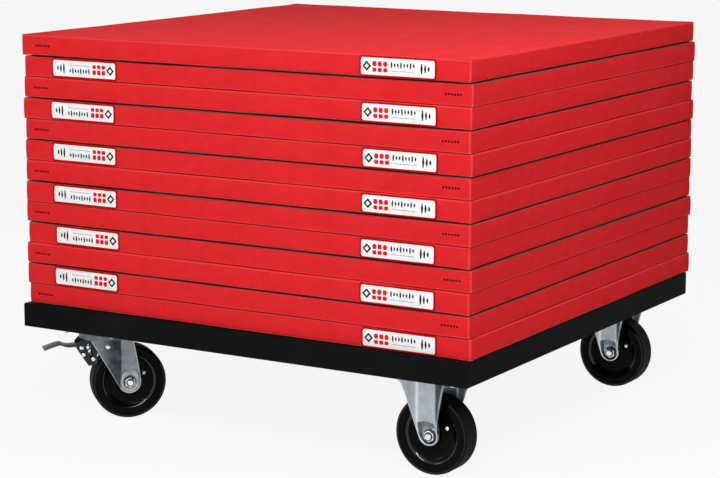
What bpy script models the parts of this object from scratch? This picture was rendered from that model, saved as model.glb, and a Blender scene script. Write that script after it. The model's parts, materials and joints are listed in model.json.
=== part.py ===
"""Mat trolley: a square steel deck on four casters, loaded with a stack of gym mats.

Lengths are in metres and +Z is up. +X runs from the braked swivel casters to the fixed
casters, and -Y is the front. The origin lies on the floor under the middle of the deck.
"""

import math
from dataclasses import dataclass

import bmesh
import bpy
from mathutils import Matrix, Vector

MM = 0.001

# Fits
TOUCH_GAP = 0.3 * MM
CUT_PAST = 5 * MM
CUTTER_LENGTH = 200 * MM

# Deck
DECK_LENGTH = 1005 * MM
DECK_WIDTH = 996 * MM
SHEET_THICKNESS = 1.5 * MM
RAIL_HEIGHT = 44.5 * MM
RAIL_FLANGE = 40 * MM
RAIL_WALL = 3 * MM
CROSS_MEMBER_WIDTH = 60 * MM
CROSS_MEMBER_WALL = 2.5 * MM
CROSS_MEMBER_X = 170 * MM
MOUNT_PLATE_LENGTH = 180 * MM
MOUNT_PLATE_WIDTH = 150 * MM
MOUNT_PLATE_THICKNESS = 4 * MM
MOUNT_PLATE_INSET = 20 * MM
PLATE_CORNER = 2 * MM

# Casters, common
CASTER_INSET_X = 116.5 * MM
CASTER_INSET_Y = 101 * MM
CASTER_HEIGHT = 190 * MM
TOP_PLATE_LENGTH = 140 * MM
TOP_PLATE_WIDTH = 110 * MM
TOP_PLATE_THICKNESS = 4 * MM
TOP_PLATE_CORNER = 10 * MM
STUD_SPACING_X = 114 * MM
STUD_SPACING_Y = 80 * MM
STUD_RADIUS = 4 * MM
STUD_LENGTH = 14 * MM

# Wheels
WHEEL_HEADROOM = 16.4 * MM
TREAD_WIDTH = 45 * MM
TREAD_DEPTH = 18 * MM
SHOULDER_RADIUS = 5 * MM
RIM_LIP_WIDTH = 2 * MM
RIM_DEPTH = 9 * MM
RIM_SLOPE = 5 * MM
WEB_DISHING = 1 * MM
HUB_BLEND = 6 * MM
HUB_WIDTH = 40 * MM
HUB_RADIUS = 19 * MM
BEARING_OUTER_RADIUS = 10 * MM
AXLE_RADIUS = 6 * MM
AXLE_CLEARANCE = 0.3 * MM
AXLE_HEX_ACROSS_FLATS = 19 * MM
AXLE_HEX_HEIGHT = 8 * MM
AXLE_TIP = 3 * MM
NIPPLE_RADIUS = 4 * MM
NIPPLE_HEIGHT = 6 * MM
NIPPLE_ROOT = 4 * MM
NIPPLE_PLACE_RADIUS = 34 * MM
NIPPLE_ANGLE = 28.0
SWIVEL_WHEEL_ROLL = 95.0

# Pressed forks, common. A half width is measured from the wheel's middle to a leg's outer face.
LEG_SHEET = 3.5 * MM
LEG_RIM_WIDTH = 2.5 * MM
ARCH_RISE = 0.35
SEAT_HEIGHT = 13 * MM
SEAT_SLOPE = 0.77
RELIEF_FOOT = 28 * MM

# Fixed fork. A rise is a height above the axle.
FIXED_LEG_END_RADIUS = 19.5 * MM
FIXED_LEG_END_RISE = 3 * MM
FIXED_LEG_TOP_LENGTH = 98 * MM
FIXED_LEG_WAIST_LENGTH = 67 * MM
FIXED_LEG_WAIST_RISE = 65 * MM
FIXED_END_HALF_WIDTH = 31.5 * MM
FIXED_KNEE_HALF_WIDTH = 42.5 * MM
FIXED_TOP_HALF_WIDTH = 54 * MM
FIXED_FLARE_RISE = -3 * MM
FIXED_KNEE_RISE = 25 * MM
FIXED_TOP_RISE = 83 * MM
FIXED_WEB_HALF_WIDTH = 42 * MM
FIXED_WEB_LENGTH = 36 * MM
FIXED_FLANGE_SLOPE = 1.4
FIXED_DISH_FOOT = 24 * MM

# Swivel fork
TRAIL = 51 * MM
SWIVEL_HEADING = 47.0
SWIVEL_LEG_END_RADIUS = 23 * MM
SWIVEL_LEG_TOP_FRONT = -30 * MM
SWIVEL_LEG_TOP_BACK = 57 * MM
SWIVEL_WEB_HALF_WIDTH = 31.5 * MM
SWIVEL_RIB_HALF_WIDTH = 36 * MM
SWIVEL_RIB_START = 25 * MM
SWIVEL_RIB_SLOPE_WIDTH = 8 * MM
SWIVEL_DISH_FOOT = 11 * MM
CROWN_THICKNESS = 4 * MM
CROWN_RADIUS = 46 * MM
CROWN_LIP_HEIGHT = 12 * MM
CROWN_LIP_WALL = 3.5 * MM
CROWN_EDGE = 2 * MM
BALL_RADIUS = 4 * MM
BALL_COUNT = 10
BALL_CIRCLE_RADIUS = 34 * MM
CAGE_WIDTH = 4 * MM
CAGE_THICKNESS = 1.6 * MM
RACE_WIDTH = 12 * MM
RACE_HEIGHT = 7 * MM
KING_PIN_RADIUS = 8 * MM
KING_PIN_HEAD_RADIUS = 13 * MM
KING_PIN_HEAD_HEIGHT = 3 * MM

# Brake. Reaches are measured forward of the king pin, and drops down from the crown.
CHEEK_THICKNESS = 3 * MM
CHEEK_INNER_HALF_WIDTH = 17 * MM
CHEEK_ROOT = 1.6 * MM
CHEEK_TOP_BACK = 8 * MM
CHEEK_TOP_FRONT = 44 * MM
CHEEK_NOSE_REACH = 54 * MM
CHEEK_NOSE_DROP = 8.4 * MM
CHEEK_CHIN_REACH = 50 * MM
CHEEK_CHIN_DROP = 24.4 * MM
CHEEK_ROUND_SHOE_MM = ((-10, -14), (1, -13), (9, 12))
PEDAL_PIVOT_REACH = 44.3 * MM
PEDAL_PIVOT_DROP = 15.7 * MM
PEDAL_WIDTH = 33 * MM
PEDAL_SHEET = 3 * MM
PEDAL_HUB_RADIUS = 6.5 * MM
PEDAL_LINE_MM = ((4.3, 4.8), (-17.7, 2.3), (-30.7, 3.3), (-42.7, 7.3), (-59.7, 3.3), (-74.7, -1.7))
SPACER_REACH = 40.5 * MM
SPACER_DROP = 30.4 * MM
SHOE_STANDOFF = 13.2 * MM
SHOE_BEARING = 144.7
SHOE_WIDTH = 33 * MM
SHOE_HUB_RADIUS = 7.5 * MM
SHOE_CLEARANCE = 0.7 * MM
SHOE_REST_ANGLE = -60.0
SHOE_LOBE_HALF_ANGLE = 16.0
SHOE_NECK_ANGLE = 40.0
CROSS_PIN_SETBACK = 7 * MM
CROSS_PIN_DROP = 14.4 * MM
PIN_RADIUS = 3 * MM
PIN_CLEARANCE = 0.3 * MM
PIN_HEAD_RADIUS = 4.5 * MM
PIN_HEAD_HEIGHT = 2 * MM
PIN_HEAD_EDGE = 0.8 * MM
CROSS_PIN_HEAD_RADIUS = 6.5 * MM

# Mats
MAT_COUNT = 13
MAT_SIZE = 1000 * MM
MAT_THICKNESS = 41 * MM
MAT_EDGE_RADIUS = 6 * MM
MAT_CORNER_RADIUS = 9 * MM
MAT_SIDE_DRAW_IN = 1.5 * MM
MAT_SIDE_CROWN = 1.5 * MM
MAT_SHIFT_X = 2.4 * MM
MAT_SHIFT_Y = 10.5 * MM
MAT_SCATTER = 2 * MM

# Wheel sizes that follow from the room under the crown
TOP_PLATE_UNDERSIDE = CASTER_HEIGHT - TOP_PLATE_THICKNESS
CROWN_TOP = TOP_PLATE_UNDERSIDE - RACE_HEIGHT - 2 * BALL_RADIUS - 2 * TOUCH_GAP
CROWN_UNDERSIDE = CROWN_TOP - CROWN_THICKNESS
WHEEL_RADIUS = (CROWN_UNDERSIDE - WHEEL_HEADROOM) / 2
RIM_INNER_RADIUS = WHEEL_RADIUS - TREAD_DEPTH
WELL_HALF_WIDTH = HUB_WIDTH / 2 + TOUCH_GAP

# Brake places, in the fork's side view
PEDAL_PIVOT = (-PEDAL_PIVOT_REACH, CROWN_UNDERSIDE - PEDAL_PIVOT_DROP)
SPACER_PLACE = (-SPACER_REACH, CROWN_UNDERSIDE - SPACER_DROP)
CROSS_PIN_PLACE = (CROSS_PIN_SETBACK, CROWN_UNDERSIDE - CROSS_PIN_DROP)
SHOE_PIVOT = (
    TRAIL + (WHEEL_RADIUS + SHOE_STANDOFF) * math.cos(math.radians(SHOE_BEARING)),
    WHEEL_RADIUS + (WHEEL_RADIUS + SHOE_STANDOFF) * math.sin(math.radians(SHOE_BEARING)),
)

# Heights, from the casters up
MOUNT_PLATE_BASE = CASTER_HEIGHT + TOUCH_GAP
RAIL_BASE = MOUNT_PLATE_BASE + MOUNT_PLATE_THICKNESS + TOUCH_GAP
SHEET_BASE = RAIL_BASE + RAIL_HEIGHT + TOUCH_GAP
DECK_TOP = SHEET_BASE + SHEET_THICKNESS

# Round pieces are drawn with these many sides
WHEEL_STEPS = 32
CROWN_STEPS = 24
TURNED_STEPS = 20
PIN_STEPS = 10
STUD_STEPS = 8
LEG_END_STEPS = 8
ARCH_STEPS = 6

# Planes that an outline can be drawn in, as the matrix that carries XY there
PLAN = Matrix.Identity(4)
SIDE = Matrix.Rotation(math.radians(90), 4, "X")
END = Matrix(((0, 0, 1, 0), (1, 0, 0, 0), (0, 1, 0, 0), (0, 0, 0, 1)))


def clear_scene():
    """Removes whatever the start-up scene holds."""
    for obj in list(bpy.data.objects):
        bpy.data.objects.remove(obj, do_unlink=True)


def new_collection(name):
    collection = bpy.data.collections.new(name)
    bpy.context.scene.collection.children.link(collection)
    return collection


def new_material(name, colour, roughness, metallic):
    material = bpy.data.materials.new(name)
    material.use_nodes = True
    shader = material.node_tree.nodes["Principled BSDF"]
    shader.inputs["Base Color"].default_value = (*colour, 1.0)
    shader.inputs["Roughness"].default_value = roughness
    shader.inputs["Metallic"].default_value = metallic
    return material


clear_scene()
PARTS = new_collection("mat_trolley")
CUTTERS = new_collection("cutters")
BLACK_PAINT = new_material("black_paint", (0.012, 0.012, 0.013), 0.5, 0.0)
ZINC = new_material("zinc_plate", (0.5, 0.53, 0.56), 0.35, 1.0)
BLACK_TYRE = new_material("black_wheel", (0.006, 0.006, 0.005), 0.25, 0.0)
BRONZE = new_material("bearing_metal", (0.42, 0.27, 0.12), 0.4, 1.0)
RED_COVER = new_material("red_cover", (0.62, 0.02, 0.035), 0.5, 0.0)


def arc(centre, radius, start, end, count):
    """Returns count + 1 points along an arc, with its angles in degrees."""
    angles = [math.radians(start + (end - start) * i / count) for i in range(count + 1)]
    return [(centre[0] + radius * math.cos(a), centre[1] + radius * math.sin(a)) for a in angles]


def circle(centre, radius, count=PIN_STEPS):
    return arc(centre, radius, 0, 360, count)[:-1]


def hexagon(across_flats):
    return circle((0, 0), across_flats / 2 / math.cos(math.radians(30)), 6)


def rounded_rectangle(length, width, radius, count=3):
    """Returns the outline of a rectangle centred on the origin, with round corners."""
    points = []
    for quarter, (sx, sy) in enumerate(((1, 1), (-1, 1), (-1, -1), (1, -1))):
        centre = (sx * (length / 2 - radius), sy * (width / 2 - radius))
        points += arc(centre, radius, 90 * quarter, 90 * (quarter + 1), count)
    return points


def tangent_angle(centre, radius, point, side):
    """Returns the angle on a circle, in degrees, where the tangent from a point touches it."""
    dx, dy = point[0] - centre[0], point[1] - centre[1]
    return math.degrees(math.atan2(dy, dx) + side * math.acos(radius / math.hypot(dx, dy)))


def leg_outline(centre, radius, front, back):
    """Returns a leg seen from the side: two edges that taper to a round lower end.

    front holds the front edge's points from the top down, and back the back edge's points
    from the bottom up.
    """
    start = tangent_angle(centre, radius, front[-1], 1)
    end = tangent_angle(centre, radius, back[0], -1)
    return front + arc(centre, radius, start, end + 360, LEG_END_STEPS) + back


def band_outline(line, half_thickness):
    """Returns the outline of a strip of even thickness that follows a line of points."""
    points = [Vector(p) for p in line]
    sides = [[], []]
    for i, point in enumerate(points):
        before = points[max(i - 1, 0)]
        after = points[min(i + 1, len(points) - 1)]
        along = (after - before).normalized()
        across = Vector((-along.y, along.x)) * half_thickness
        sides[0].append(tuple(point + across))
        sides[1].append(tuple(point - across))
    return sides[0] + sides[1][::-1]


def link(obj, collection):
    collection.objects.link(obj)
    return obj


def outline_solid(name, outlines, thickness, plane=PLAN, centre=(0, 0, 0)):
    """Returns a mesh object: an outline, with any holes after it, extruded about its plane."""
    curve = bpy.data.curves.new(name, "CURVE")
    curve.dimensions = "2D"
    curve.fill_mode = "BOTH"
    curve.extrude = thickness / 2
    for outline in outlines:
        spline = curve.splines.new("POLY")
        spline.points.add(len(outline) - 1)
        for point, (u, v) in zip(spline.points, outline):
            point.co = (u, v, 0, 1)
        spline.use_cyclic_u = True
    drawn = link(bpy.data.objects.new(name, curve), CUTTERS)
    mesh = evaluated_mesh(drawn)
    bpy.data.objects.remove(drawn, do_unlink=True)
    mesh.transform(Matrix.Translation(centre) @ plane)
    return link(bpy.data.objects.new(name, mesh), CUTTERS)


def turned_solid(name, profile, steps=TURNED_STEPS, closed=False):
    """Returns a mesh object turned about Z from (radius, height) points, outer side downwards."""
    mesh = bpy.data.meshes.new(name)
    count = len(profile)
    edges = [(i, i + 1) for i in range(count - 1)] + ([(count - 1, 0)] if closed else [])
    mesh.from_pydata([(r, 0, z) for r, z in profile], edges, [])
    obj = link(bpy.data.objects.new(name, mesh), CUTTERS)
    screw = obj.modifiers.new("turn", "SCREW")
    screw.steps = screw.render_steps = steps
    screw.use_merge_vertices = True
    screw.merge_threshold = 0.00001
    screw.use_smooth_shade = True
    return obj


def evaluated_mesh(obj):
    """Returns a copy of the object's mesh with its modifiers applied and its seams welded."""
    bpy.context.view_layer.update()
    evaluated = obj.evaluated_get(bpy.context.evaluated_depsgraph_get())
    mesh = bpy.data.meshes.new_from_object(evaluated)
    bm = bmesh.new()
    bm.from_mesh(mesh)
    bmesh.ops.remove_doubles(bm, verts=bm.verts, dist=0.000001)
    bm.to_mesh(mesh)
    bm.free()
    return mesh


def boolean(base, operation, other):
    """Cuts, joins or intersects base with other, which stays on as a hidden cutter."""
    modifier = base.modifiers.new(f"{operation.lower()}_{other.name}", "BOOLEAN")
    modifier.operation = operation
    modifier.object = other
    other.hide_render = True
    other.display_type = "WIRE"
    return base


def finished(obj):
    """Returns the finished mesh of a worked object, and removes the object and its cutters."""
    mesh = evaluated_mesh(obj)
    mesh.name = obj.name
    mesh.shade_smooth()
    mesh.set_sharp_from_angle(angle=math.radians(32))
    remove_worked(obj)
    return mesh


def remove_worked(obj):
    for modifier in list(obj.modifiers):
        if modifier.type == "BOOLEAN":
            remove_worked(modifier.object)
    bpy.data.objects.remove(obj, do_unlink=True)


def place(name, mesh, material, location=(0, 0, 0), parent=None):
    """Adds a named piece to the trolley, with its own place and material."""
    obj = link(bpy.data.objects.new(name, mesh), PARTS)
    obj.location = location
    obj.parent = parent
    if not mesh.materials:
        mesh.materials.append(material)
    return obj


def joint_axis(name, location, heading=0.0, parent=None):
    """Adds an empty on a joint's axis, for the pieces that turn there."""
    empty = link(bpy.data.objects.new(name, None), PARTS)
    empty.location = location
    empty.rotation_euler = (0, 0, math.radians(heading))
    empty.parent = parent
    return empty


def rail_mesh(name, length):
    """Returns a channel with mitred ends, open towards +Y, its web on the X axis."""
    profile = [
        (0, 0),
        (RAIL_FLANGE, 0),
        (RAIL_FLANGE, RAIL_WALL),
        (RAIL_WALL, RAIL_WALL),
        (RAIL_WALL, RAIL_HEIGHT - RAIL_WALL),
        (RAIL_FLANGE, RAIL_HEIGHT - RAIL_WALL),
        (RAIL_FLANGE, RAIL_HEIGHT),
        (0, RAIL_HEIGHT),
    ]
    mesh = finished(outline_solid(name, [profile], length, END))
    for vertex in mesh.vertices:
        end = 1 if vertex.co.x > 0 else -1
        vertex.co.x -= end * (vertex.co.y + TOUCH_GAP / 2)
    return mesh


def cross_member_mesh(length):
    """Returns a channel along Y, open downwards, with its underside at Z = 0."""
    half = CROSS_MEMBER_WIDTH / 2
    inner = half - CROSS_MEMBER_WALL
    profile = [
        (-half, 0),
        (-inner, 0),
        (-inner, RAIL_HEIGHT - CROSS_MEMBER_WALL),
        (inner, RAIL_HEIGHT - CROSS_MEMBER_WALL),
        (inner, 0),
        (half, 0),
        (half, RAIL_HEIGHT),
        (-half, RAIL_HEIGHT),
    ]
    return finished(outline_solid("cross_member", [profile], length, SIDE))


def stud_places():
    """Returns the stud centres of one caster plate, about the plate's centre."""
    half_x, half_y = STUD_SPACING_X / 2, STUD_SPACING_Y / 2
    return [(sx * half_x, sy * half_y) for sx in (-1, 1) for sy in (-1, 1)]


def stud_holes():
    return [circle(centre, STUD_RADIUS + TOUCH_GAP, STUD_STEPS) for centre in stud_places()]


def wheel_mesh():
    """Returns a wheel turned about Y: tread, rim lips, recessed web and hub."""
    half_tread, half_hub = TREAD_WIDTH / 2, HUB_WIDTH / 2
    shoulder = (WHEEL_RADIUS - SHOULDER_RADIUS, half_tread - SHOULDER_RADIUS)
    bore = BEARING_OUTER_RADIUS + TOUCH_GAP
    web_half = half_tread - RIM_DEPTH
    upper = [
        (bore, half_hub),
        (HUB_RADIUS, half_hub),
        (HUB_RADIUS + HUB_BLEND, web_half - WEB_DISHING),
        (RIM_INNER_RADIUS - RIM_SLOPE, web_half),
        (RIM_INNER_RADIUS, half_tread - RIM_LIP_WIDTH),
        (RIM_INNER_RADIUS + RIM_LIP_WIDTH, half_tread),
    ] + arc(shoulder, SHOULDER_RADIUS, 90, 0, 2)
    profile = upper + [(r, -z) for r, z in reversed(upper)]
    wheel = turned_solid("wheel", profile, WHEEL_STEPS, closed=True)
    web_face = web_half - WEB_DISHING
    tip, root = web_face + NIPPLE_HEIGHT, web_face - NIPPLE_ROOT
    shank = [(NIPPLE_RADIUS, (tip + web_face) / 2), (NIPPLE_RADIUS, root)]
    nipple_profile = [(0, tip), (NIPPLE_RADIUS / 2, tip)] + shank + [(0, root)]
    nipple = turned_solid("nipple", nipple_profile, PIN_STEPS)
    angle = math.radians(NIPPLE_ANGLE)
    nipple.location = (NIPPLE_PLACE_RADIUS * math.cos(angle), NIPPLE_PLACE_RADIUS * math.sin(angle), 0)
    mesh = finished(boolean(wheel, "UNION", nipple))
    mesh.transform(SIDE)
    return mesh


def bearing_mesh():
    """Returns the plain bearing pressed into a hub, turned about Y."""
    half = HUB_WIDTH / 2
    inner = AXLE_RADIUS + AXLE_CLEARANCE
    profile = [(BEARING_OUTER_RADIUS, half), (BEARING_OUTER_RADIUS, -half), (inner, -half), (inner, half)]
    mesh = finished(turned_solid("bearing", profile, closed=True))
    mesh.transform(SIDE)
    return mesh


def axle_seat():
    """Returns how far from the wheel's middle the axle's head and nut sit."""
    return WELL_HALF_WIDTH + LEG_SHEET + TOUCH_GAP


def axle_bolt_mesh():
    """Returns the axle bolt along Y, its head on the +Y side."""
    seat = axle_seat()
    tip = seat + AXLE_HEX_HEIGHT + AXLE_TIP
    length = tip + seat + AXLE_HEX_HEIGHT / 2
    bolt = outline_solid("axle_bolt", [circle((0, 0), AXLE_RADIUS, TURNED_STEPS)], length, SIDE)
    bolt.data.transform(Matrix.Translation((0, length / 2 - tip, 0)))
    head_centre = (0, seat + AXLE_HEX_HEIGHT / 2, 0)
    head = outline_solid("head", [hexagon(AXLE_HEX_ACROSS_FLATS)], AXLE_HEX_HEIGHT, SIDE, head_centre)
    return finished(boolean(bolt, "UNION", head))


def axle_nut_mesh():
    """Returns the axle nut on the -Y side."""
    hole = circle((0, 0), AXLE_RADIUS + TOUCH_GAP, TURNED_STEPS)
    centre = (0, -axle_seat() - AXLE_HEX_HEIGHT / 2, 0)
    return finished(
        outline_solid("axle_nut", [hexagon(AXLE_HEX_ACROSS_FLATS), hole], AXLE_HEX_HEIGHT, SIDE, centre)
    )


def both_sides(right):
    """Returns an outline from its right half, listed upwards from the bottom."""
    return right + [(-y, z) for y, z in reversed(right)]


def flat_arch(centre, half_width, start, end):
    """Returns an arch that rises by only a share of its half width."""
    points = arc(centre, half_width, start, end, ARCH_STEPS)
    return [(x, centre[1] + (z - centre[1]) * ARCH_RISE) for x, z in points]


def dish_outline(centre, radius, foot):
    """Returns the sunk seat round an axle: a round lower end under an arched top."""
    return arc(centre, radius, 180, 360, LEG_END_STEPS) + flat_arch((centre[0], foot), radius, 0, 180)


@dataclass(frozen=True)
class PressedLegs:
    """The two legs of a fork pressed from sheet, as the views that they are cut from.

    side is the view along the axle. envelope holds half widths and heights, from the bottom
    up, of the outer faces seen along the trolley. groove and relief are plan views, about the
    fork's middle, of what is sunk into the outer and the inner face of the leg at +Y. web is
    the half width at the leg's flat middle. dish is the side view of the seat round the axle,
    and crown is the height of the crown's underside.
    """

    side: list
    envelope: list
    groove: list
    relief: list
    web: float
    dish: list
    crown: float


def seat_profile(legs, offset):
    """Returns half widths and heights of the seat's floor, which slopes out to the leg's web."""
    seat = WELL_HALF_WIDTH + LEG_SHEET
    start = WHEEL_RADIUS + SEAT_HEIGHT
    rise = (legs.web - seat) / SEAT_SLOPE
    return [(seat - offset, -CUT_PAST), (seat - offset, start), (legs.web - offset, start + rise)]


def pressed_fork(name, legs):
    """Returns a fork pressed from sheet, before its crown or its top plate is joined to it."""
    above = CASTER_HEIGHT + CUT_PAST
    fork = outline_solid(name, [both_sides(legs.envelope)], CUTTER_LENGTH, END)
    boolean(fork, "INTERSECT", outline_solid("side_view", [legs.side], CUTTER_LENGTH, SIDE))
    grooves = [legs.groove, [(x, -y) for x, y in legs.groove]]
    boolean(fork, "DIFFERENCE", outline_solid("grooves", grooves, 2 * CUTTER_LENGTH))
    inner = seat_profile(legs, LEG_SHEET)
    well = both_sides(inner + [(inner[-1][0], legs.crown)])
    boolean(fork, "DIFFERENCE", outline_solid("well", [well], CUTTER_LENGTH, END))
    reliefs = [legs.relief, [(x, -y) for x, y in legs.relief]]
    foot, ceiling = WHEEL_RADIUS + RELIEF_FOOT, legs.crown - LEG_SHEET
    middle = (0, 0, (foot + ceiling) / 2)
    relief = outline_solid("relief", reliefs, ceiling - foot, PLAN, middle)
    inner_envelope = [(half - LEG_SHEET, height) for half, height in legs.envelope]
    limit = outline_solid("inner_envelope", [both_sides(inner_envelope)], CUTTER_LENGTH, END)
    boolean(fork, "DIFFERENCE", boolean(relief, "INTERSECT", limit))
    floor = seat_profile(legs, 0)
    reach = CUTTER_LENGTH / 2
    for side in (-1, 1):
        over_floor = floor + [(floor[-1][0], above), (reach, above), (reach, -CUT_PAST)]
        dish = outline_solid("dish", [[(side * y, z) for y, z in over_floor]], CUTTER_LENGTH, END)
        boolean(dish, "INTERSECT", outline_solid("dish_view", [legs.dish], 2 * CUTTER_LENGTH, SIDE))
        boolean(fork, "DIFFERENCE", dish)
    return fork


def axle_hole(centre):
    hole = circle(centre, AXLE_RADIUS + TOUCH_GAP, TURNED_STEPS)
    return outline_solid("axle_hole", [hole], CUTTER_LENGTH, SIDE)


def fixed_legs():
    """Returns the views of the fixed fork's legs: a flat web between flanges that lean outwards."""
    centre = (0, WHEEL_RADIUS + FIXED_LEG_END_RISE)
    top = CASTER_HEIGHT - TOP_PLATE_THICKNESS / 2
    half_top, half_waist = FIXED_LEG_TOP_LENGTH / 2, FIXED_LEG_WAIST_LENGTH / 2
    waist = WHEEL_RADIUS + FIXED_LEG_WAIST_RISE
    front = [(-half_top, top), (-half_waist, waist)]
    back = [(half_waist, waist), (half_top, top)]
    half_web = FIXED_WEB_LENGTH / 2
    inner_web = FIXED_WEB_HALF_WIDTH - LEG_SHEET
    lean = 2 * (FIXED_TOP_HALF_WIDTH - FIXED_WEB_HALF_WIDTH)
    run = FIXED_FLANGE_SLOPE * lean
    groove = [
        (half_web, FIXED_WEB_HALF_WIDTH),
        (half_web + run, FIXED_WEB_HALF_WIDTH + lean),
        (-half_web - run, FIXED_WEB_HALF_WIDTH + lean),
        (-half_web, FIXED_WEB_HALF_WIDTH),
    ]
    relief = [
        (-half_web - run, inner_web - CUT_PAST),
        (half_web + run, inner_web - CUT_PAST),
        (half_web + run, inner_web + lean),
        (half_web, inner_web),
        (-half_web, inner_web),
        (-half_web - run, inner_web + lean),
    ]
    return PressedLegs(
        side=leg_outline(centre, FIXED_LEG_END_RADIUS, front, back),
        envelope=[
            (FIXED_END_HALF_WIDTH, -CUT_PAST),
            (FIXED_END_HALF_WIDTH, WHEEL_RADIUS + FIXED_FLARE_RISE),
            (FIXED_KNEE_HALF_WIDTH, WHEEL_RADIUS + FIXED_KNEE_RISE),
            (FIXED_TOP_HALF_WIDTH, WHEEL_RADIUS + FIXED_TOP_RISE),
            (FIXED_TOP_HALF_WIDTH, CASTER_HEIGHT + CUT_PAST),
        ],
        groove=groove,
        relief=relief,
        web=FIXED_WEB_HALF_WIDTH,
        dish=dish_outline(centre, FIXED_LEG_END_RADIUS - LEG_RIM_WIDTH, WHEEL_RADIUS + FIXED_DISH_FOOT),
        crown=TOP_PLATE_UNDERSIDE + TOP_PLATE_THICKNESS / 4,
    )


def fixed_fork_mesh():
    """Returns the fixed caster's fork and top plate, with the axle at x = 0."""
    fork = pressed_fork("fixed_fork", fixed_legs())
    plate_outline = rounded_rectangle(TOP_PLATE_LENGTH, TOP_PLATE_WIDTH, TOP_PLATE_CORNER)
    middle = (0, 0, CASTER_HEIGHT - TOP_PLATE_THICKNESS / 2)
    plate = outline_solid("plate", [plate_outline] + stud_holes(), TOP_PLATE_THICKNESS, PLAN, middle)
    boolean(fork, "UNION", plate)
    boolean(fork, "DIFFERENCE", axle_hole((0, WHEEL_RADIUS)))
    return finished(fork)


def brake_pin_hole(where):
    hole = circle(where, PIN_RADIUS + PIN_CLEARANCE)
    return outline_solid("pin_hole", [hole], CUTTER_LENGTH, SIDE)


def swivel_legs():
    """Returns the views of the swivel fork's legs: a flat web with a raised rib behind it."""
    centre = (TRAIL, WHEEL_RADIUS)
    top = CROWN_TOP
    far = CUTTER_LENGTH / 2
    rib_full = SWIVEL_RIB_START + SWIVEL_RIB_SLOPE_WIDTH
    inner_web, inner_rib = SWIVEL_WEB_HALF_WIDTH - LEG_SHEET, SWIVEL_RIB_HALF_WIDTH - LEG_SHEET
    slope = SWIVEL_RIB_SLOPE_WIDTH / (SWIVEL_RIB_HALF_WIDTH - SWIVEL_WEB_HALF_WIDTH)
    groove = [
        (-far, SWIVEL_WEB_HALF_WIDTH),
        (SWIVEL_RIB_START, SWIVEL_WEB_HALF_WIDTH),
        (rib_full + slope * CUT_PAST, SWIVEL_RIB_HALF_WIDTH + CUT_PAST),
        (-far, SWIVEL_RIB_HALF_WIDTH + CUT_PAST),
    ]
    relief = [
        (SWIVEL_RIB_START, inner_web - CUT_PAST),
        (far, inner_web - CUT_PAST),
        (far, inner_rib),
        (rib_full, inner_rib),
        (SWIVEL_RIB_START, inner_web),
    ]
    return PressedLegs(
        side=leg_outline(
            centre, SWIVEL_LEG_END_RADIUS, [(SWIVEL_LEG_TOP_FRONT, top)], [(SWIVEL_LEG_TOP_BACK, top)]
        ),
        envelope=[(SWIVEL_RIB_HALF_WIDTH, -CUT_PAST), (SWIVEL_RIB_HALF_WIDTH, top + CUT_PAST)],
        groove=groove,
        relief=relief,
        web=SWIVEL_WEB_HALF_WIDTH,
        dish=dish_outline(centre, SWIVEL_LEG_END_RADIUS - LEG_RIM_WIDTH, WHEEL_RADIUS + SWIVEL_DISH_FOOT),
        crown=CROWN_UNDERSIDE,
    )


def cheek_outline():
    """Returns the side view of a brake cheek, from the crown down round the shoe's pivot."""
    round_shoe = [(SHOE_PIVOT[0] + x * MM, SHOE_PIVOT[1] + z * MM) for x, z in CHEEK_ROUND_SHOE_MM]
    return [
        (-CHEEK_TOP_FRONT, CROWN_UNDERSIDE + CHEEK_ROOT),
        (-CHEEK_NOSE_REACH, CROWN_UNDERSIDE - CHEEK_NOSE_DROP),
        (-CHEEK_CHIN_REACH, CROWN_UNDERSIDE - CHEEK_CHIN_DROP),
        *round_shoe,
        (-CHEEK_TOP_BACK, CROWN_UNDERSIDE + CHEEK_ROOT),
    ]


def swivel_fork_mesh():
    """Returns the swivel caster's fork, with the king pin at x = 0 and the axle behind it."""
    fork = pressed_fork("swivel_fork", swivel_legs())
    inner_lip, lip_top = CROWN_RADIUS - CROWN_LIP_WALL, CROWN_TOP + CROWN_LIP_HEIGHT
    crown_profile = [
        (0, CROWN_TOP),
        (inner_lip, CROWN_TOP),
        (inner_lip, lip_top),
        (CROWN_RADIUS, lip_top),
        (CROWN_RADIUS, CROWN_UNDERSIDE + CROWN_EDGE),
        (CROWN_RADIUS - CROWN_EDGE, CROWN_UNDERSIDE),
        (0, CROWN_UNDERSIDE),
    ]
    boolean(fork, "UNION", turned_solid("crown", crown_profile, CROWN_STEPS))
    bore = circle((0, 0), KING_PIN_RADIUS + TOUCH_GAP, TURNED_STEPS)
    king_pin_hole = outline_solid("king_pin_hole", [bore], CUTTER_LENGTH, PLAN, (0, 0, CROWN_TOP))
    boolean(fork, "DIFFERENCE", king_pin_hole)
    for side in (-1, 1):
        middle = (0, side * (CHEEK_INNER_HALF_WIDTH + CHEEK_THICKNESS / 2), 0)
        boolean(fork, "UNION", outline_solid("cheek", [cheek_outline()], CHEEK_THICKNESS, SIDE, middle))
    for where in (PEDAL_PIVOT, SHOE_PIVOT):
        boolean(fork, "DIFFERENCE", brake_pin_hole(where))
    cheek_half = CHEEK_INNER_HALF_WIDTH + CHEEK_THICKNESS / 2
    boolean(fork, "UNION", rivet("spacer", SPACER_PLACE, cheek_half, PIN_HEAD_RADIUS))
    cross_half = SWIVEL_WEB_HALF_WIDTH - LEG_SHEET / 2
    boolean(fork, "UNION", rivet("cross_pin", CROSS_PIN_PLACE, cross_half, CROSS_PIN_HEAD_RADIUS))
    boolean(fork, "DIFFERENCE", axle_hole((TRAIL, WHEEL_RADIUS)))
    return finished(fork)


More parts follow.
